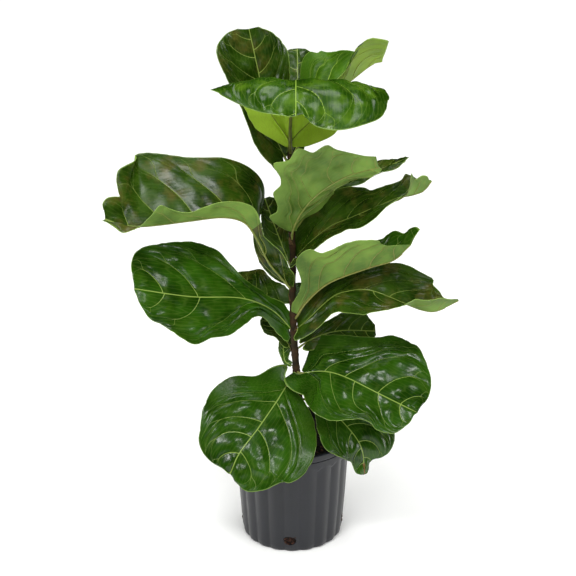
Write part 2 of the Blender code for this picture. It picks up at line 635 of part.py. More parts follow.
def blade_point(leaf, line, total, outlines, v, u):
    """Point of the blade at v (0 base to 1 tip) and u (-1 left edge to 1 right edge)."""
    side = 1 if u > 0 else 0
    reach = abs(u)
    edge = outlines[side]
    k = min(int(v * (len(edge) - 1)), len(edge) - 2)
    edge_point = edge[k].lerp(edge[k + 1], v * (len(edge) - 1) - k)
    start = v * leaf["blade"]
    along = start + (edge_point.x - start) * reach ** LOBE_SWEEP
    across = edge_point.y * reach
    x = min(max(along / leaf["blade"], 0.0), 1.0)
    fold = math.radians(value_at(leaf.get("fold", (0, 0))[side], x))
    width = leaf.get("width", (0.1, 0.1))[side]
    bend = math.radians(leaf.get("curl", (0, 0))[side]) / width
    if abs(bend) < 0.001:
        bend = 0.001
    outward = (math.sin(fold + bend * across) - math.sin(fold)) / bend
    lift = (math.cos(fold) - math.cos(fold + bend * across)) / bend
    lift += EDGE_WAVE * reach ** 2.2 * math.sin(2 * math.pi * EDGE_WAVES * v + side * 1.7)
    point, direction, upper, right = midrib_frame(leaf, line, total, along)
    return point + right * (outward if side else -outward) + upper * lift


def make_leaf(leaf, material):
    name = leaf["name"]
    start = trunk_axis(leaf["node"])
    line, total = smooth_line([tuple(start)] + leaf["path"], 160)
    outlines = [smooth_line([(x, y, 0) for x, y in half_outline(leaf, side)], 100)[0] for side in (0, 1)]
    large = "outline" not in leaf
    rows = leaf.get("rows", 12 if large else 8)
    steps = (-1, -0.7, -0.35, 0, 0.35, 0.7, 1)

    # blade: a grid moved onto the leaf's surface and thickened
    blade = bmesh.new()
    bmesh.ops.create_grid(blade, x_segments=rows, y_segments=len(steps) - 1, size=1.0)
    bmesh.ops.triangulate(blade, faces=blade.faces, quad_method="FIXED")
    for corner in blade.verts:
        v = (corner.co.x + 1) / 2
        column = round((corner.co.y + 1) / 2 * (len(steps) - 1))
        corner.co = blade_point(leaf, line, total, outlines, v, steps[column])
    bmesh.ops.recalc_face_normals(blade, faces=blade.faces)
    blade_mesh = bpy.data.meshes.new(name)
    blade.to_mesh(blade_mesh)
    blade.free()
    piece = add_piece(name, blade_mesh, material)
    thicken = piece.modifiers.new("blade_thickness", "SOLIDIFY")
    thicken.thickness = BLADE_THICKNESS
    thicken.offset = 0.0

    # petiole and midrib: one tapered tube that leaves the trunk and lies under the blade
    size = min(1.0, 0.45 + leaf["blade"] / 0.4)
    petiole = total - leaf["blade"]
    points = []
    radii = []
    stops = 3 + rows // 2
    for k in range(stops + 1):
        travelled = (petiole + RIB_REACH * leaf["blade"]) * k / stops
        along = travelled - petiole
        share = min(max(along / (RIB_REACH * leaf["blade"]), 0.0), 1.0)
        radius = (PETIOLE_RADIUS + (RIB_TIP_RADIUS - PETIOLE_RADIUS) * share ** 0.6) * size
        sink = radius * min(max(1 + along / 0.015, 0.0), 1.0)
        point, direction, upper, right = midrib_frame(leaf, line, total, along)
        points.append(point - upper * sink)
        radii.append(radius)
    rib = add_cutter(name + "_rib", make_tube(name + "_rib", points, radii, 1))
    add_boolean(piece, "midrib_and_petiole", rib, "UNION")
    add_boolean(piece, "room_for_trunk", trunk_room, "DIFFERENCE")
    return piece


leaf_material = make_material("fig_leaf", (0.04, 0.15, 0.02), 0.35)
for leaf in LEAVES:
    make_leaf(leaf, leaf_material)
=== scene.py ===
import math
import random

import bmesh
import bpy
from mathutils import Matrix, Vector, noise


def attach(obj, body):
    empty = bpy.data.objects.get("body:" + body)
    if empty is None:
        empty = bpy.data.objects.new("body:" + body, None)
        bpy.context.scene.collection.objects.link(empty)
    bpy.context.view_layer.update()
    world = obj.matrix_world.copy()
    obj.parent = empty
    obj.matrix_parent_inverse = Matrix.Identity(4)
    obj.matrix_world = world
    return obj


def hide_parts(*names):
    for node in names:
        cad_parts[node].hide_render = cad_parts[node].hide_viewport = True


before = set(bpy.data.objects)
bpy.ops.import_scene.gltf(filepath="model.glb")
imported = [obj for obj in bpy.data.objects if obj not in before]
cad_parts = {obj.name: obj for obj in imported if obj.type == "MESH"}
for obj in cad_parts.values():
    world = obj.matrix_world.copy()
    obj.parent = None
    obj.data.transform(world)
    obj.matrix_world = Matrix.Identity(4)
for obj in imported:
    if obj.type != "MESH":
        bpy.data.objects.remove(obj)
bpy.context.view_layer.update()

detail = 1.0
scene = bpy.context.scene


# sRGB hex to linear
def linear(hexColor):
    parts = [int(hexColor[k:k + 2], 16) / 255 for k in (1, 3, 5)]
    return tuple(p / 12.92 if p <= 0.04045 else ((p + 0.055) / 1.055) ** 2.4 for p in parts) + (1.0,)


# Sets a node's inputs, in order or by name or number, each to a value or a socket to link from
def setInputs(tree, made, inputs):
    for key, value in inputs.items() if isinstance(inputs, dict) else enumerate(inputs):
        if isinstance(value, bpy.types.NodeSocket):
            tree.links.new(value, made.inputs[key])
        else:
            made.inputs[key].default_value = value


# Adds a shader node with its inputs and settings, and hands back one of its outputs
def addNode(tree, kind, inputs=(), take=0, **settings):
    made = tree.nodes.new("ShaderNode" + kind)
    for name, value in settings.items():
        setattr(made, name, value)
    setInputs(tree, made, inputs)
    return made.outputs[take]


# A material, its node tree and its object coordinates
def newMaterial(name):
    material = bpy.data.materials.new(name)
    material.use_nodes = True
    tree = material.node_tree
    return material, tree, addNode(tree, "TexCoord", take="Object")


# Two shades in spots of a real size: the spots and the colour. span is where one shade turns to the other.
def mottle(tree, place, shades, spotSize, span, noiseDetail, noiseRoughness=0.5):
    spots = addNode(tree, "TexNoise", {"Vector": place, "Scale": 1 / spotSize, "Detail": noiseDetail,
                                       "Roughness": noiseRoughness})
    share = addNode(tree, "MapRange", [spots, span[0], span[1]])
    color = addNode(tree, "Mix", {0: share, 6: linear(shades[0]), 7: linear(shades[1])}, 2, data_type="RGBA")
    return spots, color


# Gives the shader its inputs, and relief from a height by its strength and its depth in metres
def finishMaterial(material, inputs, height, strength, depth):
    tree = material.node_tree
    relief = addNode(tree, "Bump", {"Height": height, "Strength": strength, "Distance": depth})
    setInputs(tree, tree.nodes["Principled BSDF"], {"Normal": relief, **inputs})
    return material


# A mottled material whose spots also give its relief. noise is the detail and roughness of the spots.
def mottledMaterial(name, shades, look):
    material, tree, place = newMaterial(name)
    spots, color = mottle(tree, place, shades, look["spotSize"], look["span"], *look["noise"])
    inputs = {"Base Color": color, "Roughness": look["roughness"], "IOR": look["ior"]}
    return finishMaterial(material, inputs, spots, *look["relief"])


def newObject(name, data):
    made = bpy.data.objects.new(name, data)
    scene.collection.objects.link(made)
    return made


# A piece of the plant: what it rides on and what it stands for. Its slotName is not used.
def addPiece(name, mesh, materials, slotName, *nodes):
    piece = newObject(name, mesh)
    for material in materials:
        mesh.materials.append(material)
    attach(piece, "root")
    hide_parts(*nodes)
    return piece


def addThickness(piece, thickness, offset):
    wall = piece.modifiers.new("thickness", "SOLIDIFY")
    wall.thickness = thickness
    wall.offset = offset
    return wall


# Writes a bmesh into a mesh, with its faces turned outwards
def writeMesh(shell, mesh, smooth=True, outward=True):
    if outward:
        bmesh.ops.recalc_face_normals(shell, faces=shell.faces)
    for face in shell.faces:
        face.smooth = smooth
    shell.to_mesh(mesh)
    shell.free()
    return mesh


# The mesh of a curve, or of a piece with its modifiers applied
def appliedMesh(holder):
    bpy.context.view_layer.update()
    return bpy.data.meshes.new_from_object(holder.evaluated_get(bpy.context.evaluated_depsgraph_get()))


# Round tubes along lists of points, each point with its radius
def makeTubes(name, tubes, resolution):
    curve = bpy.data.curves.new(name, "CURVE")
    curve.dimensions = "3D"
    curve.twist_mode = "MINIMUM"
    curve.bevel_depth = 1.0
    curve.bevel_resolution = resolution
    curve.use_fill_caps = True
    for points, radii in tubes:
        line = curve.splines.new("POLY")
        line.points.add(len(points) - 1)
        for k, (place, radius) in enumerate(zip(points, radii)):
            line.points[k].co = (*place, 1.0)
            line.points[k].radius = radius
    holder = newObject(name, curve)
    mesh = appliedMesh(holder)
    bpy.data.objects.remove(holder, do_unlink=True)
    bpy.data.curves.remove(curve)
    shell = bmesh.new()
    shell.from_mesh(mesh)
    bmesh.ops.remove_doubles(shell, verts=shell.verts, dist=0.00001)
    return writeMesh(shell, mesh)


# Turns a profile of (radius, height) points about the pot's axis
def spinProfile(profile, steps):
    shell = bmesh.new()
    corners = [shell.verts.new((radius, 0, height)) for radius, height in profile]
    edges = [shell.edges.new(pair) for pair in zip(corners, corners[1:])]
    bmesh.ops.spin(shell, geom=corners + edges, cent=(0, 0, 0), axis=(0, 0, 1), angle=2 * math.pi,
                   steps=steps, use_merge=True)
    bmesh.ops.remove_doubles(shell, verts=shell.verts, dist=0.00002)
    return shell


# Evenly spaced points on a smooth curve through the given ones, and its length
def smoothLine(points, count):
    given = [Vector(p) for p in points]
    given = [2 * given[0] - given[1]] + given + [2 * given[-1] - given[-2]]
    dense = []
    for i in range(1, len(given) - 2):
        a, b, c, d = given[i - 1:i + 3]
        for step in range(24):
            t = step / 24
            dense.append(0.5 * (2 * b + (c - a) * t + (2 * a - 5 * b + 4 * c - d) * t ** 2
                                + (3 * b - a - 3 * c + d) * t ** 3))
    dense.append(given[-2])
    travelled = [0.0]
    for first, second in zip(dense, dense[1:]):
        travelled.append(travelled[-1] + (second - first).length)
    line = []
    k = 0
    for i in range(count):
        goal = travelled[-1] * i / (count - 1)
        while k < len(dense) - 2 and travelled[k + 1] < goal:
            k += 1
        line.append(dense[k].lerp(dense[k + 1], (goal - travelled[k]) / (travelled[k + 1] - travelled[k])))
    return line, travelled[-1]


# The value at a share of the way through a list, whose entries may be points
def valueAt(values, share):
    if not isinstance(values, (list, tuple)):
        return values
    place = min(max(share, 0.0), 1.0) * (len(values) - 1)
    k = max(min(int(place), len(values) - 2), 0)
    first, second = values[k], values[min(k + 1, len(values) - 1)]
    if isinstance(first, Vector):
        return first.lerp(second, place - k)
    return first + (second - first) * (place - k)


def smoothStep(low, high, x):
    t = min(max((x - low) / (high - low), 0.0), 1.0)
    return t * t * (3 - 2 * t)


# leaf materials
# Fig leaf, upper skin: thick and waxy, dark green with pale sunken veins and soft broad highlights.
# Its underside is matt and paler, with raised veins. Both read the blade's own maps:
# veins = (vein count, share of the half width), size = (vein half width in vein counts, metres
# to the margin), blade = (metres along, metres across).
leafTones = {
    "deep": {"upper": ("#132801", "#2a4506"), "roughness": 0.24, "specular": 0.3, "blotch": "#4b4719",
             "under": ("#48671d", "#6d8f36"), "veins": "#74863c", "underVeins": "#858037",
             "stalk": ("#6c7a30", "#848a42")},
    "mid": {"upper": ("#122e01", "#254b03"), "roughness": 0.19, "specular": 0.4, "blotch": "#2c4a0a",
            "under": ("#41601a", "#688832"), "veins": "#7f9644", "underVeins": "#7f7834",
            "stalk": ("#6a7030", "#7f803e")},
    "young": {"upper": ("#294a02", "#3c6403"), "roughness": 0.40, "specular": 0.2, "blotch": "#45640e",
              "under": ("#6f9214", "#86a826"), "veins": "#8ba63c", "underVeins": "#8a8420",
              "stalk": ("#7f9434", "#9aab48")},
    # glowing: a young leaf's yellow-green underside, made brighter still with painted light shining through
    # the thin leaf
    "glowing": {"upper": ("#183502", "#2b4e03"), "roughness": 0.24, "specular": 0.4, "blotch": "#45640e",
                "under": ("#90b419", "#a6ca2e"), "veins": "#7d9939", "underVeins": "#6d6a16",
                # its dark olive stalk is partly painted shade, standing in for the shadow in the fold along
                # the midrib
                "stalk": ("#4d530a", "#656b12")},
}
leafSkin = {
    "patchSize": 0.060,
    "blotchSize": 0.045,
    "blotchShare": 0.75,
    "ladderSpacing": 0.0075,
    "ladderPerVein": 1.7,
    "netShare": 0.07,
    "underNetShare": 0.16,
    "veinShare": 0.88,
    "grainSize": 0.0012,
    "midribHalfWidth": 0.0011,
    "marginWidth": 0.0016,
    "marginColor": "#8aa84c",
    "dryColor": "#7a5a33",
    "underRoughness": 0.62,
    "underSpecular": 0.5,
    "ior": 1.42,
    "puffRelief": 0.12,  # the swelling between the cross veins, as a share of the veins' own relief
    "grainRelief": 0.14,
    "relief": (0.8, 0.0006),
}


def leafMaterial(name, tone, upperSide):
    look = leafTones[tone]
    veinColor = linear(look["veins" if upperSide else "underVeins"])
    material, tree, place = newMaterial(name)
    veinMap, sizeMap, bladeMap = [
        addNode(tree, "SeparateXYZ", [addNode(tree, "UVMap", uv_map=uvName)]).node.outputs
        for uvName in ("veins", "size", "blade")]
    count, reach = veinMap["X"], veinMap["Y"]
    across = addNode(tree, "Math", [bladeMap["Y"]], operation="ABSOLUTE")
    patches, green = mottle(tree, place, look["upper" if upperSide else "under"], leafSkin["patchSize"],
                            (0.36, 0.66), 3.0)

    # ladder of small cross veins between the side veins
    ladderX = addNode(tree, "Math", [count, leafSkin["ladderPerVein"]], operation="MULTIPLY")
    ladderY = addNode(tree, "Math", [across, leafSkin["ladderSpacing"]], operation="DIVIDE")
    ladderPlace = addNode(tree, "CombineXYZ", {"X": ladderX, "Y": ladderY})
    ladder = addNode(tree, "TexVoronoi", {"Vector": ladderPlace, "Scale": 1.0, "Randomness": 0.75},
                     voronoi_dimensions="2D", feature="DISTANCE_TO_EDGE")
    ladderLine = addNode(tree, "MapRange", [ladder, 0.02, 0.13, 1.0, 0.0], interpolation_type="SMOOTHSTEP")

    # side veins at whole vein counts, and the midrib
    offVein = addNode(tree, "Math", [count, 0.5], operation="PINGPONG")
    widths = addNode(tree, "Math", [offVein, sizeMap["X"]], operation="DIVIDE")
    sideVein = addNode(tree, "MapRange", [widths, 0.5, 1.5, 1.0, 0.0], interpolation_type="SMOOTHSTEP")
    veinFade = addNode(tree, "MapRange", [reach, 0.62, 0.86, 1.0, 0.0])
    lobeFade = addNode(tree, "MapRange", [count, -0.6, -0.3, 0.2, 1.0])

    # near the margin each side vein parts in two, which arch over to meet their neighbours
    arch = addNode(tree, "MapRange", [reach, 0.60, 0.95, 0.0, 0.5], interpolation_type="SMOOTHSTEP")
    offArch = addNode(tree, "Math", [offVein, arch], operation="SUBTRACT")
    offArch = addNode(tree, "Math", [offArch], operation="ABSOLUTE")
    archWidths = addNode(tree, "Math", [offArch, sizeMap["X"]], operation="DIVIDE")
    archVein = addNode(tree, "MapRange", [archWidths, 0.4, 1.6, 0.6, 0.0])
    archFade = addNode(tree, "MapRange", [reach, 0.55, 0.68, 0.0, 1.0])
    rib = leafSkin["midribHalfWidth"]
    veins = addNode(tree, "MapRange", [across, 0.6 * rib, 1.5 * rib, 1.0, 0.0])
    for vein, fade in ((sideVein, veinFade), (archVein, archFade)):
        vein = addNode(tree, "Math", [vein, fade], operation="MULTIPLY")
        vein = addNode(tree, "Math", [vein, lobeFade], operation="MULTIPLY")
        veins = addNode(tree, "Math", [veins, vein], operation="MAXIMUM")

    # colours laid over the green: blotches, the fine net, the veins, the margin and dry spots
    net = leafSkin["netShare" if upperSide else "underNetShare"]
    netShare = addNode(tree, "Math", [ladderLine, net], operation="MULTIPLY")
    veinShare = addNode(tree, "Math", [veins, leafSkin["veinShare"]], operation="MULTIPLY")
    edge = leafSkin["marginWidth"]
    margin = addNode(tree, "MapRange", [sizeMap["Y"], 0.3 * edge, edge, 0.5, 0.0])
    dryShare = addNode(tree, "Attribute", take="Fac", attribute_name="dry")
    layers = [(netShare, veinColor), (veinShare, veinColor), (margin, linear(leafSkin["marginColor"])),
              (dryShare, linear(leafSkin["dryColor"]))]
    if upperSide:
        blotches = addNode(tree, "TexNoise", {"Vector": place, "Scale": 1 / leafSkin["blotchSize"],
                                              "Detail": 4.0, "Roughness": 0.6})
        blotchShare = addNode(tree, "MapRange", [blotches, 0.50, 0.68, 0.0, leafSkin["blotchShare"]])
        layers.insert(0, (blotchShare, linear(look["blotch"])))
    color = green
    for share, shade in layers:
        color = addNode(tree, "Mix", {0: share, 6: color, 7: shade}, 2, data_type="RGBA")

    # relief: veins sunk above and raised below, with a fine leathery grain
    grain = addNode(tree, "TexNoise", {"Vector": place, "Scale": 1 / leafSkin["grainSize"], "Detail": 2.0})
    puff = addNode(tree, "MapRange", [ladder, 0.0, 0.38, 1.0, 0.0], interpolation_type="SMOOTHSTEP")
    height = addNode(tree, "Math", [puff, leafSkin["puffRelief"], veins], operation="MULTIPLY_ADD")
    height = addNode(tree, "Math", [height, -1.0 if upperSide else 1.0], operation="MULTIPLY")
    height = addNode(tree, "Math", [grain, leafSkin["grainRelief"], height], operation="MULTIPLY_ADD")
    roughness = look["roughness"] if upperSide else leafSkin["underRoughness"]
    gloss = addNode(tree, "MapRange", [patches, 0.3, 0.7, roughness - 0.05, roughness + 0.08])
    inputs = {"Base Color": color, "Roughness": gloss, "IOR": leafSkin["ior"],
              "Specular IOR Level": look["specular"] if upperSide else leafSkin["underSpecular"]}
    return finishMaterial(material, inputs, height, *leafSkin["relief"])


# Leaf rim, stalk and ribs: smooth green tissue with few pores, paler than the blade
tissueLook = {"spotSize": 0.006, "span": (0.35, 0.65), "noise": (4.0, 0.5), "roughness": 0.45, "ior": 1.45,
              "relief": (0.3, 0.0003)}
rimLook = {**tissueLook, "spotSize": 0.004, "roughness": 0.5}
leafRim = mottledMaterial("leafRim", ("#7d9c46", "#94b056"), rimLook)
stalkSkins, upperSkins, underSkins = {}, {}, {}
for tone, look in leafTones.items():
    stalkSkins[tone] = mottledMaterial("leafStalk_" + tone, look["stalk"], tissueLook)
    upperSkins[tone] = leafMaterial("waxyLeaf_" + tone, tone, True)
    underSkins[tone] = leafMaterial("mattLeafUnderside_" + tone, tone, False)
print("leaf materials ready")

# leaves
leafForm = {
    "lobeSweep": 1.5,
    "edgeWave": 0.004,
    "edgeWaves": 3.0,
    "marginNotch": 0.0030,
    "gridStep": 0.0031,
    "thickness": 0.0008,
    "quilt": 0.0052,
    "bulge": 0.0052,
    "bulgeSize": 0.030,
    "veinRise": 0.70,
    "veinPower": 1.5,
    "veinHalfWidth": 0.0009,
    "petioleRadius": 0.0028,
    "ribTipRadius": 0.0008,
    "ribReach": 0.92,
    "veinTubeRadius": 0.0009,
    "veinTubeReach": 0.88,
}
leafVeins = ([0.02, 0.21, 0.42, 0.62, 0.80], [0.02, 0.28, 0.50, 0.69, 0.86])

# Half outlines of the plainer leaves, as (along / length, across / half width)
fiddleOutline = [(-0.035, 0.10), (-0.06, 0.24), (-0.02, 0.40), (0.10, 0.47), (0.24, 0.46), (0.38, 0.60),
                 (0.54, 0.88), (0.70, 1.0), (0.84, 0.92), (0.94, 0.66), (0.99, 0.32)]
smallOutline = [(-0.02, 0.10), (-0.03, 0.22), (0.02, 0.34), (0.12, 0.42), (0.26, 0.54), (0.42, 0.76),
                (0.56, 0.94), (0.68, 1.0), (0.82, 0.90), (0.93, 0.62), (0.99, 0.30)]

# Each leaf, from the top down, with its lengths in millimetres. node is the height where its petiole
# leaves the trunk, blade the blade's length up to the end of path, which is the way of petiole and midrib
# from the trunk on, and face the way the upper side looks, from blade base to tip. left and right are the
# half outlines as (along, across), seen from above with the tip away. fold lifts each half and curl bends
# it on (degrees, base to tip), over the half widths in width. veins are the roots of the side veins as
# shares of the blade, and turned is the share of it, from the base, with its upper skin on both sides.
leaves = [
    {"name": "leaf_top_left", "tone": "deep", "node": 865, "blade": 270,
     "veins": ([0.02, 0.2, 0.41, 0.61, 0.78, 0.92], [0.02, 0.25, 0.46, 0.66, 0.84]),
     "path": [(-35, 10, 925), (-55, 15, 985), (-70, 20, 1060), (-90, 40, 1150)],
     "face": [(0.3, -0.9, 0.3), (0.1, -0.95, 0.2), (0.1, -0.95, 0.2)],
     "left": [(-20, 10), (-30, 30), (-5, 40), (40, 50), (80, 50), (125, 55), (180, 70), (225, 80),
              (250, 75), (270, 50), (275, 25)],
     "right": [(0, 8), (10, 15), (35, 30), (80, 45), (140, 60), (200, 70), (225, 65), (250, 50), (270, 20)],
     "fold": (15, 20)},
    {"name": "leaf_top_back", "tone": "deep", "node": 870, "blade": 240,
     "path": [(5, 60, 930), (10, 120, 1000), (10, 170, 1080)],
     "face": [(0, -0.9, 0.3)],
     "outline": fiddleOutline, "width": (55, 55)},
    {"name": "leaf_top_right", "tone": "young", "node": 880, "blade": 225,
     "path": [(20, 20, 925), (35, 25, 970), (70, 30, 1010), (110, 35, 1035), (160, 40, 1073),
              (185, 45, 1080)],
     "face": [(-0.6, -0.55, 0.5)],
     "left": [(0, 10), (20, 30), (50, 70), (80, 105), (95, 125), (105, 130), (115, 120), (130, 120),
              (155, 95), (175, 75), (190, 55), (205, 35), (215, 15), (225, 5)],
     "right": [(0, 10), (20, 30), (70, 35), (110, 40), (125, 45), (160, 70), (190, 95), (200, 115),
               (205, 130), (210, 120), (220, 105), (225, 55), (225, 10)],
     "fold": (0, 70)},
    # ribWidth 1.6 widens the dark midrib over the painted shade in the fold beside it
    {"name": "leaf_top_front", "tone": "glowing", "node": 890, "blade": 345, "ribWidth": 1.6,
     "veins": ([0.02, 0.3, 0.52, 0.77, 0.9], [0.02, 0.25, 0.42, 0.62, 0.8]),
     "path": [(-5, -10, 960), (0, -50, 1035), (5, -110, 1080), (5, -180, 1075), (5, -230, 1040)],
     "face": [(0, 1, 0.1), (0.1, 0.2, 1.0), (0.05, -0.9, 0.6)],
     "left": [(0, 10), (0, 40), (20, 85), (50, 105), (100, 115), (150, 140), (200, 170), (250, 185),
              (300, 180), (335, 170), (360, 145), (380, 90), (370, 40), (340, 12)],
     "right": [(0, 10), (20, 40), (50, 75), (100, 100), (150, 130), (200, 155), (235, 170), (270, 155),
               (300, 125), (330, 75), (345, 35), (350, 12)],
     "width": (165, 185), "fold": (10, 0), "curl": (-20, -25)},
    {"name": "leaf_centre_front", "tone": "deep", "node": 690, "blade": 280,
     "veins": ([0.02, 0.27, 0.5, 0.72], [0.02, 0.23, 0.38, 0.62, 0.8]),
     "path": [(0, -10, 730), (20, -30, 780), (55, -60, 830), (110, -90, 875), (175, -110, 900)],
     "face": [(-0.2, 0.8, 0.4)],
     "left": [(0, 10), (20, 12), (50, 30), (90, 45), (130, 40), (160, 20), (200, 30), (250, 25), (280, 12)],
     "right": [(0, 10), (10, 30), (35, 65), (50, 55), (70, 65), (90, 85), (110, 85), (130, 105),
               (150, 145), (160, 135), (170, 125), (190, 135), (200, 105), (220, 110), (230, 85),
               (260, 45), (285, 30)],
     "fold": (12, 0)},
    {"name": "leaf_centre_back", "tone": "deep", "node": 720, "blade": 240,
     "path": [(50, 50, 765), (135, 100, 805), (255, 140, 845)],
     "face": [(0.1, 0.1, 1)],
     "outline": smallOutline, "width": (50, 30)},
    {"name": "leaf_right_high", "tone": "deep", "node": 655, "blade": 345,
     "path": [(35, -10, 700), (80, -15, 740), (120, -20, 760), (200, -30, 800), (225, -30, 810),
              (250, -30, 815), (275, -30, 825), (290, -30, 845)],
     "face": [(0, -0.2, 1)],
     "left": [(0, 10), (5, 35), (20, 55), (50, 65), (90, 60), (110, 70), (130, 80), (155, 80), (195, 65),
              (210, 50), (235, 45), (260, 35), (275, 40), (285, 55), (295, 55), (315, 40), (335, 20),
              (345, 5)],
     "right": [(0, 10), (-20, 20), (-10, 35), (30, 45), (55, 55), (90, 70), (115, 80), (135, 75),
               (150, 60), (175, 75), (200, 70), (225, 55), (245, 35), (260, 20), (275, 20), (290, 45),
               (305, 70), (315, 65), (330, 45), (345, 30), (350, 15), (345, 5)],
     "fold": (25, (10, 10, 10, 10, 10, 10, 15, 70, 85))},
    {"name": "leaf_right_under", "tone": "mid", "node": 515, "blade": 325,
     "path": [(25, -20, 565), (75, -50, 625), (155, -80, 670), (210, -85, 690), (245, -90, 725)],
     "face": [(-0.4, 0.1, 1), (-0.2, 0.1, 1), (-0.2, 0.1, 1)],
     "left": [(0, 10), (-10, 30), (-10, 45), (5, 60), (15, 75), (40, 60), (80, 45), (140, 60), (200, 75),
              (240, 60), (265, 55), (285, 60), (310, 60), (325, 40), (340, 40), (355, 30), (360, 15)],
     "right": [(0, 10), (20, 20), (50, 30), (85, 45), (110, 85), (140, 100), (155, 80), (190, 75),
               (220, 75), (250, 70), (275, 60), (295, 35), (315, 10)],
     "fold": (45, 65)},
    {"name": "leaf_right_long", "tone": "deep", "node": 490, "blade": 405,
     "veins": ([0.02, 0.24, 0.47, 0.61, 0.78, 0.9], [0.02, 0.3, 0.52, 0.72, 0.88]),
     "path": [(40, -20, 535), (80, -30, 580), (110, -40, 600), (165, -55, 610), (240, -70, 585),
              (275, -80, 575), (305, -85, 575), (350, -90, 600)],
     "face": [(0, -0.5, 0.85)],
     "left": [(0, 10), (5, 30), (20, 40), (60, 40), (100, 40), (140, 45), (170, 55), (200, 70), (235, 95),
              (265, 100), (300, 90), (330, 85), (355, 70), (370, 50), (375, 30), (390, 15), (405, 5)],
     "right": [(0, 10), (-20, 20), (-5, 30), (35, 35), (60, 35), (80, 35), (105, 40), (145, 55),
               (200, 65), (230, 60), (260, 50), (290, 60), (320, 60), (375, 50), (390, 25), (405, 5)],
     "fold": (0, (0, 0, 0, 0, 0, 20, 70, 85, 85))},
    {"name": "leaf_right_small", "tone": "deep", "node": 445, "blade": 160,
     "path": [(45, 20, 465), (105, 40, 475), (185, 50, 470)],
     "face": [(0, -0.7, 0.7)],
     "left": [(-15, 5), (-15, 10), (0, 15), (20, 20), (40, 25), (65, 30), (90, 45), (110, 50), (135, 45),
              (150, 30), (160, 15)],
     "right": [(-15, 5), (-20, 10), (-10, 20), (10, 25), (30, 30), (60, 25), (85, 30), (110, 35),
               (135, 30), (150, 25), (160, 10)]},
    {"name": "leaf_left_high", "tone": "deep", "node": 590, "blade": 500, "veinRise": 0.25, "turned": 0.36,
     "veins": ([0.02, 0.22, 0.4, 0.57, 0.71, 0.85], [0.02, 0.2, 0.34, 0.48, 0.62, 0.76, 0.9]),
     "path": [(-25, -10, 625), (-50, -30, 665), (-75, -50, 725), (-100, -60, 765), (-145, -70, 780),
              (-215, -80, 775), (-275, -90, 770), (-315, -100, 770), (-350, -105, 775), (-385, -110, 790)],
     "face": [(0.5, 0.6, 0.6), (0.5, 0.6, 0.6), (0.3, 0.3, 0.9), (0, 0, 1), (0, 0, 1), (0, 0, 1),
              (0, -0.3, 1)],
     "left": [(0, 10), (20, 30), (45, 45), (70, 55), (95, 55), (120, 45), (145, 25), (170, 20), (195, 30),
              (210, 45), (230, 55), (255, 60), (285, 55), (325, 40), (360, 55), (385, 75), (400, 65),
              (410, 45), (425, 25), (440, 20), (460, 20), (475, 10), (495, 5), (505, 5)],
     "right": [(0, 10), (10, 30), (30, 40), (60, 35), (90, 30), (110, 40), (130, 55), (155, 85),
               (180, 100), (200, 125), (240, 135), (275, 140), (320, 150), (355, 155), (390, 160),
               (430, 155), (465, 150), (490, 130), (505, 110), (505, 95), (500, 80), (490, 60), (485, 55),
               (495, 50), (510, 40), (515, 25), (510, 15)],
     "fold": ((0, 0, 0, 22, 45, 48, 50, 50, 50, 50, 40, -10, -20), (0, 0, 50, 50, 50, 50, 45))},
    {"name": "leaf_left_inner", "tone": "deep", "node": 630, "blade": 145,
     "path": [(-20, 25, 675), (-40, 40, 725), (-60, 55, 780)],
     "face": [(0, -0.8, 0.5)],
     "left": [(0, 10), (-10, 15), (20, 25), (50, 30), (75, 30), (100, 25), (125, 15), (145, 5)],
     "right": [(-5, 5), (-5, 10), (5, 15), (20, 15), (40, 20), (60, 30), (80, 40), (100, 40), (120, 35),
               (135, 25), (145, 10)]},
    {"name": "leaf_left_mid", "tone": "mid", "node": 490, "blade": 385,
     "veins": ([0.02, 0.29, 0.63, 0.83], [0.02, 0.36, 0.64, 0.84]),
     "path": [(-45, -20, 550), (-110, -50, 590), (-215, -90, 610), (-330, -120, 640)],
     "face": [(0, -0.75, 0.65)],
     "left": [(0, 10), (-20, 20), (-5, 30), (40, 30), (65, 25), (85, 25), (110, 35), (140, 60), (185, 85),
              (225, 90), (255, 105), (280, 95), (320, 70), (345, 60), (370, 30), (380, 10)],
     "right": [(0, 10), (10, 20), (30, 25), (50, 30), (80, 25), (100, 30), (125, 35), (150, 50),
               (170, 80), (190, 110), (235, 125), (285, 120), (335, 110), (380, 90), (395, 55), (390, 20)]},
    {"name": "leaf_left_back", "tone": "deep", "node": 530, "blade": 175,
     "path": [(-45, 40, 550), (-95, 90, 555), (-150, 140, 555)],
     "face": [(0, -0.4, 0.9)],
     "left": [(-5, 5), (-10, 15), (-5, 25), (15, 30), (40, 30), (65, 35), (95, 55), (120, 60), (145, 55),
              (165, 40), (175, 20)],
     "right": [(0, 10), (-10, 20), (-5, 35), (20, 45), (50, 50), (85, 55), (120, 65), (145, 60),
               (165, 45), (175, 20)]},
    {"name": "leaf_low_mid", "tone": "deep", "node": 435, "blade": 85,
     "path": [(-15, 10, 465), (-35, 20, 490), (-60, 30, 520)],
     "face": [(0.1, -0.6, 0.7)],
     "outline": fiddleOutline, "width": (30, 40)},
    {"name": "leaf_low_small", "tone": "mid", "node": 405, "blade": 65,
     "path": [(-15, 5, 415), (-20, 10, 435), (-20, 20, 465)],
     "face": [(0.1, -0.8, 0.4)],
     "outline": fiddleOutline, "width": (12, 20)},
    {"name": "leaf_low_left", "tone": "mid", "node": 370, "blade": 240,
     "veins": ([0.01, 0.2, 0.52, 0.78], [0.01, 0.2, 0.44, 0.61, 0.8]),
     "path": [(-10, -5, 365), (-35, -50, 345), (-75, -100, 305), (-115, -140, 265), (-135, -160, 225)],
     "face": [(0.1, -0.8, 0.6)],
     "left": [(-10, 5), (0, 35), (30, 85), (55, 110), (90, 130), (130, 140), (170, 130), (220, 105),
              (250, 70), (260, 45), (250, 15)],
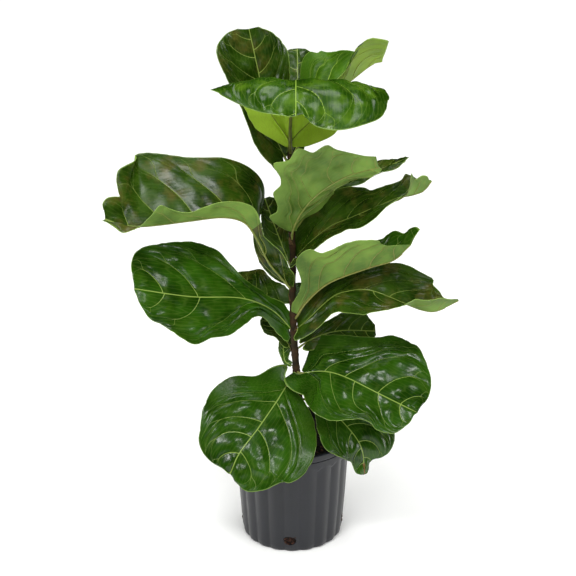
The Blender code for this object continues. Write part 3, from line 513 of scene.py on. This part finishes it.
     "right": [(-10, 5), (-15, 20), (-20, 35), (-15, 50), (0, 60), (15, 70), (30, 85), (45, 100),
               (70, 120), (115, 130), (165, 120), (185, 105), (210, 85), (230, 50), (235, 20), (240, 5)]},
    {"name": "leaf_low_right", "tone": "mid", "node": 395, "blade": 285,
     "veins": ([0.01, 0.2, 0.38, 0.67, 0.86], [0.01, 0.25, 0.47, 0.68, 0.86]),
     "path": [(20, -20, 400), (70, -55, 420), (115, -85, 420), (185, -125, 400), (265, -155, 370)],
     "face": [(0.1, -0.7, 0.7)],
     "left": [(-10, 5), (-15, 30), (-10, 55), (-15, 80), (-5, 95), (30, 90), (70, 95), (115, 110),
              (150, 140), (205, 140), (225, 135), (255, 110), (280, 80), (290, 45), (285, 15)],
     "right": [(-10, 5), (-35, 10), (-40, 20), (-25, 35), (-10, 45), (10, 55), (30, 80), (75, 100),
               (135, 105), (170, 85), (195, 70), (210, 70), (225, 75), (250, 70), (265, 60), (280, 30),
               (280, 10)]},
    {"name": "leaf_low_hang", "tone": "mid", "node": 325, "blade": 215,
     "path": [(30, 0, 325), (65, -30, 325), (110, -60, 300), (150, -80, 250), (160, -80, 180)],
     "face": [(0.3, -0.8, 0.5)],
     "left": [(-10, 10), (0, 40), (40, 70), (90, 95), (130, 95), (155, 85), (170, 70), (180, 55),
              (185, 40), (185, 25), (195, 15), (210, 10), (215, 5)],
     "right": [(0, 10), (20, 30), (50, 55), (90, 70), (130, 60), (165, 40), (175, 30), (195, 25),
               (205, 20), (210, 10)],
     "dry": [(1.0, 0.0, 0.16)]},
]

# stem values, shared by the leaves that grow from it
stem = {
    "path": [(0.025, 0.0, 0.162), (0.025, 0.0, 0.235), (0.015, 0.0, 0.325), (0.005, 0.0, 0.445),
             (0.0, 0.0, 0.565), (0.0, 0.0, 0.68), (-0.005, 0.0, 0.795), (-0.005, 0.0, 0.89),
             (-0.005, 0.0, 0.905)],
    "footRadius": 0.0085,
    "topRadius": 0.0055,
    "swelling": 0.0012,
    "swellingHeight": 0.0045,
    "ringHeight": 0.006,
    "roughness": 0.0003,
    "budLength": 0.022,
    "scarHeights": (0.265, 0.295, 0.345, 0.56, 0.76, 0.81),
    "station": 0.0022,
}
stemLine = smoothLine(stem["path"], 120)[0]


def stemAxis(height):
    for low, high in zip(stemLine, stemLine[1:]):
        if height <= high.z:
            return low.lerp(high, max(height - low.z, 0.0) / (high.z - low.z))
    return stemLine[-1].copy()


def prepareLeaf(leaf):
    leaf["node"] /= 1000
    leaf["blade"] /= 1000
    path = [(x / 1000, y / 1000, z / 1000) for x, y, z in leaf["path"]]
    line, total = smoothLine([tuple(stemAxis(leaf["node"]))] + path, 200)
    last = len(line) - 1
    aims = [(line[min(k + 3, last)] - line[max(k - 3, 0)]).normalized() for k in range(len(line))]
    edges = []
    for side in (0, 1):
        if "outline" in leaf:
            width = leaf["width"][side] / 1000
            half = [(along * leaf["blade"], across * width, 0) for along, across in leaf["outline"]]
        else:
            half = [(along / 1000, across / 1000, 0) for along, across in leaf["right" if side else "left"]]
        edge = smoothLine(half, 160)[0]
        for k in range(5, 155):
            notch = noise.noise(Vector((k * 0.21, side * 7.3, leaf["node"] * 31)))
            edge[k].y -= leafForm["marginNotch"] * max(notch, 0.0) * min(edge[k].y / 0.02, 1.0)
        edges.append(edge)
    leaf.update(line=line, total=total, aims=aims, edges=edges, veins=leaf.get("veins", leafVeins),
                veinRise=leaf.get("veinRise", leafForm["veinRise"]), face=[Vector(f) for f in leaf["face"]])


# Midrib point, upper side and right side, along metres past the blade's base
def midribFrame(leaf, along):
    travelled = leaf["total"] - leaf["blade"] + along
    share = travelled / leaf["total"]
    point = valueAt(leaf["line"], share)
    aim = valueAt(leaf["aims"], share).normalized()
    if share > 1:
        point += aim * (travelled - leaf["total"])
    upper = valueAt(leaf["face"], along / leaf["blade"])
    upper = (upper - aim * upper.dot(aim)).normalized()
    return point, upper, aim.cross(upper)


# How many side veins lie below this spot of the blade, whole numbers being on a vein, and the gap there
def veinCount(leaf, v, reach, side):
    swept = leaf["veinRise"] * reach ** leafForm["veinPower"]
    root = (v - swept) / (1 - swept)
    roots = leaf["veins"][side]
    if root < roots[0]:
        return (root - roots[0]) / (roots[1] - roots[0]), roots[1] - roots[0]
    for k in range(len(roots) - 1):
        if root <= roots[k + 1] or k == len(roots) - 2:
            return k + (root - roots[k]) / (roots[k + 1] - roots[k]), roots[k + 1] - roots[k]


# A spot of the blade, v from base to tip and u from margin to margin: its place, and the metres along,
# across and to the margin
def bladePoint(leaf, v, u):
    side = 1 if u > 0 else 0
    reach = abs(u)
    edgePoint = valueAt(leaf["edges"][side], v)
    start = v * leaf["blade"]
    along = start + (edgePoint.x - start) * reach ** leafForm["lobeSweep"]
    across = edgePoint.y * reach
    fold = math.radians(valueAt(leaf.get("fold", (0, 0))[side], along / leaf["blade"]))
    bend = math.radians(leaf.get("curl", (0, 0))[side]) / (leaf.get("width", (100, 100))[side] / 1000)
    if abs(bend) < 0.001:
        bend = 0.001
    outward = (math.sin(fold + bend * across) - math.sin(fold)) / bend
    lift = (math.cos(fold) - math.cos(fold + bend * across)) / bend
    wave = math.sin(2 * math.pi * leafForm["edgeWaves"] * v + side * 1.7)
    lift += leafForm["edgeWave"] * reach ** 2.2 * wave
    count, gap = veinCount(leaf, v, reach, side)
    inner = smoothStep(0.0, 0.2, reach) * (1 - smoothStep(0.8, 1.0, reach)) * smoothStep(0.0, 0.1, v)
    between = math.sin(math.pi * (count - math.floor(count)))
    size = min(gap * leaf["blade"] / 0.05, 1.0) * smoothStep(-0.6, 0.0, count)
    lift += leafForm["quilt"] * size * inner * (between ** 0.8 - 0.5)
    spot = Vector((along, across * (1 if side else -1), leaf["node"] * 9)) / leafForm["bulgeSize"]
    lift += leafForm["bulge"] * size * inner * between * noise.noise(spot)
    point, upper, right = midribFrame(leaf, along)
    return point + right * (outward if side else -outward) + upper * lift, along, across, edgePoint.y - across


def pieceName(leaf, part):
    words = leaf["name"].split("_")[1:]
    return part + "".join(word.capitalize() for word in words)


def makeBlade(leaf):
    widest = max(p.y for p in leaf["edges"][0]) + max(p.y for p in leaf["edges"][1])
    rows = max(int(leaf["blade"] * detail / leafForm["gridStep"]), 12)
    columns = 2 * max(int(widest * detail / leafForm["gridStep"] / 2), 5)
    sheet = bmesh.new()
    bmesh.ops.create_grid(sheet, x_segments=rows, y_segments=columns, size=1.0)
    spots = {}
    for corner in sheet.verts:
        v, u = (corner.co.x + 1) / 2, corner.co.y
        corner.co, *measures = bladePoint(leaf, v, u)
        spots[corner.index] = (v, u, *measures)
    dryLayer = sheet.verts.layers.float.new("dry")
    for corner in sheet.verts:
        v, u = spots[corner.index][:2]
        for dryV, dryU, radius in leaf.get("dry", ()):
            away = math.hypot(v - dryV, u - dryU) / radius
            away += 0.35 * noise.noise(corner.co * 120)
            corner[dryLayer] = max(corner[dryLayer], 1 - smoothStep(0.6, 1.0, away))
    veinLayer = sheet.loops.layers.uv.new("veins")
    sizeLayer = sheet.loops.layers.uv.new("size")
    bladeLayer = sheet.loops.layers.uv.new("blade")
    for face in sheet.faces:
        side = 1 if sum(spots[corner.index][1] for corner in face.verts) > 0 else 0
        if sum(spots[corner.index][0] for corner in face.verts) / 4 < leaf.get("turned", 0.0):
            face.material_index = 3
        for loop in face.loops:
            v, u, along, across, toMargin = spots[loop.vert.index]
            count, gap = veinCount(leaf, v, abs(u), side)
            veinWidth = leafForm["veinHalfWidth"] * (1.0 - 0.5 * abs(u)) / max(gap * leaf["blade"], 0.012)
            loop[veinLayer].uv = (count, abs(u))
            loop[sizeLayer].uv = (veinWidth, toMargin)
            loop[bladeLayer].uv = (along, across if side else -across)

    # the upper skin is the outer one
    bmesh.ops.recalc_face_normals(sheet, faces=sheet.faces)
    middleFace = min(sheet.faces, key=lambda face: sum(
        abs(spots[corner.index][0] - 0.5) + abs(spots[corner.index][1]) for corner in face.verts))
    if middleFace.normal.dot(midribFrame(leaf, 0.5 * leaf["blade"])[1]) < 0:
        bmesh.ops.reverse_faces(sheet, faces=sheet.faces)
    name = pieceName(leaf, "blade")
    mesh = writeMesh(sheet, bpy.data.meshes.new(name), outward=False)
    upperSkin = upperSkins[leaf["tone"]]
    materials = [upperSkin, underSkins[leaf["tone"]], leafRim, upperSkin, upperSkin, leafRim]
    wall = addThickness(addPiece(name, mesh, materials, "leaf", leaf["name"]), leafForm["thickness"], 0.0)
    wall.material_offset = 1
    wall.material_offset_rim = 2


# Stalk, midrib and side veins, which stand proud of the underside
def makeRibs(leaf):
    size = min(1.0, 0.45 + leaf["blade"] / 0.4)  # small leaves have slimmer ribs
    petiole = leaf["total"] - leaf["blade"]
    ribLength = leafForm["ribReach"] * leaf["blade"]
    stout, slim = leafForm["petioleRadius"], leafForm["ribTipRadius"]
    points, radii = [], []
    stops = 60
    for k in range(stops + 1):
        along = (petiole + ribLength) * k / stops - petiole
        share = min(max(along / ribLength, 0.0), 1.0)
        radius = (stout + (slim - stout) * share ** 0.6) * size * leaf.get("ribWidth", 1.0)
        sink = radius * min(max(1 + along / 0.015, 0.0), 1.0)  # the midrib sinks below the blade
        point, upper, _ = midribFrame(leaf, along)
        points.append(point - upper * sink)
        radii.append(radius)
    tubes = [(points, radii)]
    for side in (0, 1):
        for root in leaf["veins"][side]:
            points, radii = [], []
            for k in range(19):
                reach = 0.02 + (leafForm["veinTubeReach"] - 0.02) * k / 18
                v = root + (1 - root) * leaf["veinRise"] * reach ** leafForm["veinPower"]
                u = reach if side else -reach
                if v > 0.985:
                    break
                here = bladePoint(leaf, v, u)[0]
                ahead = bladePoint(leaf, min(v + 0.01, 1.0), u)[0]
                beside = bladePoint(leaf, v, u + 0.01)[0]
                below = (ahead - here).cross(beside - here).normalized()
                radius = leafForm["veinTubeRadius"] * size * (1 - 0.75 * reach)
                points.append(here + below * (0.35 * radius + 0.0002))
                radii.append(radius)
            if len(points) > 3:
                tubes.append((points, radii))
    name = pieceName(leaf, "ribs")
    addPiece(name, makeTubes(name, tubes, 1), [stalkSkins[leaf["tone"]]], "leaf", leaf["name"])


for leaf in leaves:
    prepareLeaf(leaf)
    makeBlade(leaf)
    makeRibs(leaf)
print("leaves ready")

# stem
# Fig bark: young wood, dark brown and matt, with paler leaf scars and fine lengthwise cracks
barkLook = {
    "colors": ("#171208", "#33270f"),
    "blotchSize": 0.012,
    "nodeColor": "#33220f",
    "crackWidth": 0.0016,
    "crackHeight": 0.016,
    "roughness": 0.85,
    "ior": 1.35,
    "relief": (0.7, 0.0006),
}
bark, tree, place = newMaterial("figBark")
perMetre = (1 / barkLook["crackWidth"], 1 / barkLook["crackWidth"], 1 / barkLook["crackHeight"])
stretch = addNode(tree, "Mapping", {"Vector": place, "Scale": perMetre})
cracks = addNode(tree, "TexNoise", {"Vector": stretch, "Scale": 1.0, "Detail": 4.0})
brown = mottle(tree, place, barkLook["colors"], barkLook["blotchSize"], (0.3, 0.7), 3.0)[1]
ringShare = addNode(tree, "Attribute", take="Fac", attribute_name="ring")
brown = addNode(tree, "Mix", {0: ringShare, 6: brown, 7: linear(barkLook["nodeColor"])}, 2, data_type="RGBA")
finishMaterial(bark, {"Base Color": brown, "Roughness": barkLook["roughness"], "IOR": barkLook["ior"]},
               cracks, *barkLook["relief"])

# Stipule: a dry papery sheath left at a node, brown and matt
stipuleLook = {**tissueLook, "spotSize": 0.003, "roughness": 0.8}
stipuleSkin = mottledMaterial("dryStipule", ("#3a2a14", "#5c4522"), stipuleLook)

nodeHeights = [leaf["node"] for leaf in leaves] + list(stem["scarHeights"])


# How near a height is to the closest leaf node, from 0 to 1
def nodeShare(height, reach):
    return max(math.exp(-((height - at) / reach) ** 2) for at in nodeHeights)


def stemRadius(height):
    share = (height - stem["path"][1][2]) / (stem["path"][-1][2] - stem["path"][1][2])
    radius = stem["footRadius"] + (stem["topRadius"] - stem["footRadius"]) * min(max(share, 0.0), 1.0)
    return radius + stem["swelling"] * nodeShare(height, stem["swellingHeight"])


points, radii = [], []
height = stem["path"][0][2]
budBase = stem["path"][-1][2]
while height < budBase:
    points.append(stemAxis(height))
    radii.append(stemRadius(height))
    height += stem["station"]
for k in range(13):
    share = k / 12
    points.append(Vector((stem["path"][-1][0], 0, budBase + share * stem["budLength"])))
    radii.append(stem["topRadius"] * (1 - share ** 1.3) + 0.0004)
stemMesh = makeTubes("stemBark", [(points, radii)], 8)
shell = bmesh.new()
shell.from_mesh(stemMesh)
ringLayer = shell.verts.layers.float.new("ring")
for corner in shell.verts:
    height = corner.co.z
    corner[ringLayer] = nodeShare(height, stem["ringHeight"])
    axis = stemAxis(height)
    out = Vector((corner.co.x - axis.x, corner.co.y - axis.y, 0))
    if out.length > 0.002:
        rough = noise.noise(Vector((corner.co.x * 500, corner.co.y * 500, height * 60)))
        corner.co += out.normalized() * stem["roughness"] * rough
addPiece("stemBark", writeMesh(shell, stemMesh, outward=False), [bark], "bark", "trunk")

# dry stipules pressed round the stem, densest at the growing tip, where they close over it
stipuleShape = {
    "heights": (0.445, 0.495, 0.565, 0.632, 0.695, 0.725, 0.815, 0.868, 0.878, 0.888, 0.897, 0.905),
    "length": 0.017,
    "spreadDeg": 105,
    "thickness": 0.0003,
    "lift": 0.0018,
    "ripple": 0.0004,
    "closingAbove": 0.86,
    "closing": 0.55,
}
random.seed(11)
stipules = bmesh.new()
for height in stipuleShape["heights"]:
    turn = random.uniform(0, 2 * math.pi)
    length = stipuleShape["length"] * random.uniform(0.7, 1.15)
    made = bmesh.ops.create_grid(stipules, x_segments=8, y_segments=10, size=1.0)
    for corner in made["verts"]:
        across, up = corner.co.x, (corner.co.y + 1) / 2
        angle = turn + math.radians(stipuleShape["spreadDeg"]) / 2 * across * (1 - up ** 1.6)
        axis = stemAxis(height + up * length)
        out = stemRadius(height) + 0.0005 + stipuleShape["lift"] * up ** 2
        out += stipuleShape["ripple"] * math.sin(across * 6)
        if height > stipuleShape["closingAbove"]:
            out *= 1 - stipuleShape["closing"] * up
        corner.co = Vector((axis.x + out * math.cos(angle), axis.y + out * math.sin(angle),
                            height + up * length))
stipuleMesh = writeMesh(stipules, bpy.data.meshes.new("stipules"))
stipulePiece = addPiece("stipules", stipuleMesh, [stipuleSkin], "bark", "trunk")
addThickness(stipulePiece, stipuleShape["thickness"], -1.0)
print("stem ready")

# pot
# Polypropylene, injection moulded: satin dark grey with a faint even grain
potShape = {
    "ribs": 20,
    "stepsPerRib": 18,
    "ribDepth": 0.0042,
    "ribBottom": 0.008,
    "ribTop": 0.214,
    "ribArch": 0.010,
    "ribTurnDeg": 8.5,
    "edgeStep": 0.0016,
    "wallStep": 0.006,
    "drainTurnsDeg": (-93, -3, 87, 177),
    "drainWidth": 0.029,
    "drainHeight": 0.022,
    "drainZ": 0.030,
    "drainOut": 0.114,
    "drainDepth": 0.03,
    "colors": ("#101218", "#16181f"),
    "cloudSize": 0.05,
    "roughness": (0.33, 0.42),
    "ior": 1.47,
    "grain": 0.0014,
    "relief": (0.12, 0.0002),
}
plastic, tree, place = newMaterial("mouldedPolypropylene")
cloud, grey = mottle(tree, place, potShape["colors"], potShape["cloudSize"], (0.3, 0.7), 3.0)
smooth, rough = potShape["roughness"]
sheen = addNode(tree, "MapRange", [cloud, 0.3, 0.7, smooth, rough])
grain = addNode(tree, "TexNoise", {"Vector": place, "Scale": 1 / potShape["grain"], "Detail": 1.0})
finishMaterial(plastic, {"Base Color": grey, "Roughness": sheen, "IOR": potShape["ior"]},
               grain, *potShape["relief"])

# profiles of the pot, as (radius, height), from the middle of its foot round the rim to its floor inside
outerWall = [(0.104, 0.0), (0.1085, 0.0012), (0.1122, 0.0055), (0.114, 0.012), (0.1152, 0.026),
             (0.1205, 0.10), (0.1259, 0.200), (0.1266, 0.213), (0.1275, 0.2275)]
rimWall = [(0.1275, 0.2275), (0.1268, 0.2288), (0.1257, 0.2296), (0.1257, 0.2306), (0.1290, 0.2308),
           (0.1297, 0.2314), (0.1300, 0.2328), (0.1300, 0.2432), (0.1297, 0.2450), (0.1288, 0.2459),
           (0.1268, 0.2460), (0.1248, 0.2456), (0.1236, 0.2440), (0.1230, 0.2400)]
innerWall = [(0.1160, 0.10), (0.1095, 0.014), (0.0995, 0.003), (0.0, 0.003)]
profile = [(0.0, 0.0), (0.05, 0.0), (0.09, 0.0)]
for (r0, z0), (r1, z1) in zip(outerWall, outerWall[1:]):
    step = potShape["edgeStep"] if z1 < 0.013 or z0 > 0.195 else potShape["wallStep"]
    cuts = max(int(math.hypot(r1 - r0, z1 - z0) / step), 1)
    profile += [(r0 + (r1 - r0) * k / cuts, z0 + (z1 - z0) * k / cuts) for k in range(cuts)]
shell = spinProfile(profile + rimWall + innerWall, potShape["ribs"] * potShape["stepsPerRib"])
for corner in shell.verts:
    radius = math.hypot(corner.co.x, corner.co.y)
    height = corner.co.z
    insideWall = height > 0.02 and radius < 0.114 - 0.001 + 0.055 * height
    if radius < 0.1 or height > 0.224 or insideWall:
        continue
    turn = math.atan2(corner.co.x, -corner.co.y) - math.radians(potShape["ribTurnDeg"])
    across = (turn * potShape["ribs"] / (2 * math.pi)) % 1.0
    crease = abs(2 * across - 1) ** 1.7
    arch = potShape["ribTop"] - potShape["ribArch"] * (0.15 + 0.85 * (2 * across - 1) ** 2)
    depth = 1 - smoothStep(arch - 0.003, arch + 0.004, height)
    depth *= 0.6 + 0.4 * smoothStep(0.0, potShape["ribBottom"], height)
    scale = 1 - potShape["ribDepth"] * depth * crease / radius
    corner.co.x *= scale
    corner.co.y *= scale
potMesh = writeMesh(shell, bpy.data.meshes.new("potShell"))
potMesh.set_sharp_from_angle(angle=math.radians(50))
potPiece = addPiece("potShell", potMesh, [plastic], "pot_plastic", "pot")


# A place at a drain hole: across and up from its middle, out from the pot's axis
def drainPoint(turnDeg, across, up, out):
    turn = math.radians(turnDeg)
    return Vector((out * math.sin(turn) + across * math.cos(turn),
                   -out * math.cos(turn) + across * math.sin(turn), potShape["drainZ"] + up))


drill = bmesh.new()
for turnDeg in potShape["drainTurnsDeg"]:
    made = bmesh.ops.create_cone(drill, cap_ends=True, segments=40, radius1=0.5, radius2=0.5,
                                 depth=potShape["drainDepth"])
    for corner in made["verts"]:
        across, up, out = corner.co
        corner.co = drainPoint(turnDeg, across * potShape["drainWidth"], up * potShape["drainHeight"],
                               potShape["drainOut"] + out)
drillPiece = newObject("drainHoles", writeMesh(drill, bpy.data.meshes.new("drainHoles"), smooth=False))
holes = potPiece.modifiers.new("drainHoles", "BOOLEAN")
holes.operation = "DIFFERENCE"
holes.solver = "EXACT"
holes.object = drillPiece
cutMesh = appliedMesh(potPiece)
potPiece.modifiers.clear()
potPiece.data = cutMesh
bpy.data.objects.remove(drillPiece, do_unlink=True)
print("pot ready")

# soil
# Potting mix: peat and fine bark, almost black when moist, loose and matt
soilShape = {
    "top": 0.222,
    "lump": 0.0028,
    "clod": 0.0016,
    "crumb": 0.0008,
    "spread": 0.116,
    "crumbs": 520,
    "crumbSizes": (0.0010, 0.0032),
    "crumbFlatness": (0.6, 0.9),
    "chips": 90,
    "chipSizes": (0.0025, 0.0060),
    "chipFlatness": (0.25, 0.4),
    "colors": ("#0f0b08", "#21170f"),
    "chipColors": ("#3a2114", "#5a3823"),
}
crumbLook = {"spotSize": 0.004, "span": (0.38, 0.66), "noise": (5.0, 0.65), "roughness": 0.92, "ior": 1.5,
             "relief": (0.9, 0.0012)}
peat = mottledMaterial("loosePeat", soilShape["colors"], crumbLook)
barkChip = mottledMaterial("barkChips", soilShape["chipColors"], crumbLook)


def soilHeight(x, y):
    spot = Vector((x, y, 0.3))
    height = soilShape["lump"] * noise.noise(spot * 45)
    height += soilShape["clod"] * noise.noise(spot * 140) + soilShape["crumb"] * noise.noise(spot * 420)
    return soilShape["top"] + height


soilProfile = [(0.0, 0.0035), (0.098, 0.0035), (0.1089, 0.0145), (0.1112, 0.04), (0.1155, 0.10),
               (0.1185, 0.150), (0.1215, 0.2185)]
soilProfile += [(0.1205 - 0.0026 * k, soilShape["top"]) for k in range(46)] + [(0.0, soilShape["top"])]
shell = spinProfile(soilProfile, 180)
for corner in shell.verts:
    if corner.co.z > soilShape["top"] - 0.0001:
        corner.co.z = soilHeight(corner.co.x, corner.co.y)
addPiece("soilBed", writeMesh(shell, bpy.data.meshes.new("soilBed")), [peat], "potting_soil", "soil")


# Strews bits over the soil, each flattened, dented, tilted, turned and half sunk
def scatterCrumbs(name, amount, sizes, flatness, material):
    heap = bmesh.new()
    for _ in range(amount):
        radius = soilShape["spread"] * math.sqrt(random.random())
        turn = random.uniform(0, 2 * math.pi)
        x, y = radius * math.cos(turn), radius * math.sin(turn)
        size = random.uniform(*sizes)
        made = bmesh.ops.create_icosphere(heap, subdivisions=1, radius=size)
        stretchBy = Vector((1.0, random.uniform(0.5, 0.9), random.uniform(*flatness)))
        bmesh.ops.scale(heap, verts=made["verts"], vec=stretchBy)
        for corner in made["verts"]:
            corner.co *= 1 + 0.35 * noise.noise(corner.co * 400 + Vector((x, y, 0)) * 90)
        spin = random.uniform(0, 2 * math.pi)
        tilt = random.uniform(-0.5, 0.5)
        for corner in made["verts"]:
            px, py, pz = corner.co
            px, pz = px * math.cos(tilt) - pz * math.sin(tilt), px * math.sin(tilt) + pz * math.cos(tilt)
            corner.co = Vector((x + px * math.cos(spin) - py * math.sin(spin),
                                y + px * math.sin(spin) + py * math.cos(spin),
                                soilHeight(x, y) + pz + 0.2 * size))
    mesh = writeMesh(heap, bpy.data.meshes.new(name), smooth=False)
    addPiece(name, mesh, [material], "potting_soil", "soil")


random.seed(5)
scatterCrumbs("soilCrumbs", soilShape["crumbs"], soilShape["crumbSizes"], soilShape["crumbFlatness"], peat)
scatterCrumbs("soilChips", soilShape["chips"], soilShape["chipSizes"], soilShape["chipFlatness"], barkChip)

# Coir seen in the drain holes: coarse reddish fibre, matt, in loose grains
coirShape = {
    "grains": 70,
    "spread": 0.42,
    "out": (0.1095, 0.1150),
    "sizes": (0.0008, 0.0022),
    "stretch": (0.4, 1.3),
    "colors": ("#20110a", "#4d2c1c"),
}
coirFibre = mottledMaterial("coirFibre", coirShape["colors"], crumbLook)
plug = bmesh.new()
for turnDeg in potShape["drainTurnsDeg"]:
    for _ in range(coirShape["grains"]):
        across = random.uniform(-coirShape["spread"], coirShape["spread"]) * potShape["drainWidth"]
        up = random.uniform(-coirShape["spread"], coirShape["spread"]) * potShape["drainHeight"]
        spot = drainPoint(turnDeg, across, up, random.uniform(*coirShape["out"]))
        made = bmesh.ops.create_icosphere(plug, subdivisions=1, radius=random.uniform(*coirShape["sizes"]))
        stretchBy = Vector([random.uniform(*coirShape["stretch"]) for _ in range(3)])
        for corner in made["verts"]:
            corner.co = spot + corner.co * stretchBy
plugMesh = writeMesh(plug, bpy.data.meshes.new("coirPlugs"), smooth=False)
addPiece("coirPlugs", plugMesh, [coirFibre], "potting_soil", "soil")
print("soil ready")

# stage
# Each soft box has its place, where it looks, its width and height, and its watts.
stageLook = {
    "floorHalfSize": 16.0,
    "floorColor": "#fcfcfb",
    "floorRoughness": 0.9,
    "floorRelief": (0.02, 0.0005),
    "toothPerMetre": 300.0,
    "worldColor": "#ffffff",
    "worldStrength": 0.58,
    "sunStrength": 2.0,
    "sunSpreadDeg": 75.0,
    "sunPlace": (-0.2, -1.8, 3.0),
    "softBoxes": {
        "topBox": ((-0.2, 0.5, 3.4), (0.0, 0.0, 0.6), 1.3, 1.3, 24.0),
        "keyBox": ((-0.6, -1.6, 3.1), (0.0, 0.0, 0.6), 0.8, 0.6, 33.0),
        "lowBox": ((0.5, -2.2, 2.6), (0.0, 0.0, 0.4), 0.5, 0.5, 11.0),
        "leftBox": ((-2.6, -0.5, 0.35), (0.0, 0.0, 0.3), 0.45, 0.9, 30.0),
        "rightBox": ((2.6, -0.1, 0.35), (0.0, 0.0, 0.3), 0.35, 0.9, 14.0),
    },
    "glossOnly": ("leftBox", "rightBox"),
}
cameraPlace = {
    "location": (-0.010, -3.0, 1.80),
    "pitchDeg": 21.91,
    "focalPixels": 1494.0,
    "imagePixels": 576.0,
}

# Paper: white, matt, with a faint tooth
floorMaterial, tree, place = newMaterial("paperFloor")
tooth = addNode(tree, "TexNoise", {"Vector": place, "Scale": stageLook["toothPerMetre"]})
paper = {"Base Color": linear(stageLook["floorColor"]), "Roughness": stageLook["floorRoughness"]}
finishMaterial(floorMaterial, paper, tooth, *stageLook["floorRelief"])
floorShell = bmesh.new()
bmesh.ops.create_grid(floorShell, x_segments=1, y_segments=1, size=stageLook["floorHalfSize"])
floor = newObject("floor", writeMesh(floorShell, bpy.data.meshes.new("floor"), smooth=False, outward=False))
floor.data.materials.append(floorMaterial)

# white surroundings light the plant, and don't show in its gloss
world = bpy.data.worlds.new("studio")
world.use_nodes = True
setInputs(world.node_tree, world.node_tree.nodes["Background"],
          {"Color": linear(stageLook["worldColor"]), "Strength": stageLook["worldStrength"]})
scene.world = world
world.cycles_visibility.glossy = False

for name, (location, target, width, height, watts) in stageLook["softBoxes"].items():
    lamp = bpy.data.lights.new(name, "AREA")
    lamp.shape = "RECTANGLE"
    lamp.size = width
    lamp.size_y = height
    lamp.energy = watts
    lampObject = newObject(name, lamp)
    lampObject.location = location
    lampObject.rotation_euler = (Vector(target) - Vector(location)).to_track_quat("-Z", "Y").to_euler()
    lampObject.visible_diffuse = name not in stageLook["glossOnly"]

sun = bpy.data.lights.new("sun", "SUN")
sun.energy = stageLook["sunStrength"]
sun.angle = math.radians(stageLook["sunSpreadDeg"])
sunObject = newObject("sun", sun)
sunObject.rotation_euler = Vector(stageLook["sunPlace"]).to_track_quat("Z", "Y").to_euler()
sunObject.visible_glossy = False

camera = bpy.data.cameras.new("camera")
camera.sensor_width = 36.0
camera.lens = cameraPlace["focalPixels"] * camera.sensor_width / cameraPlace["imagePixels"]
cameraObject = newObject("camera", camera)
cameraObject.location = cameraPlace["location"]
cameraObject.rotation_euler = (math.radians(90 - cameraPlace["pitchDeg"]), 0.0, 0.0)
bpy.context.scene.camera = cameraObject
scene.view_settings.view_transform = "Standard"

print("scene ready")
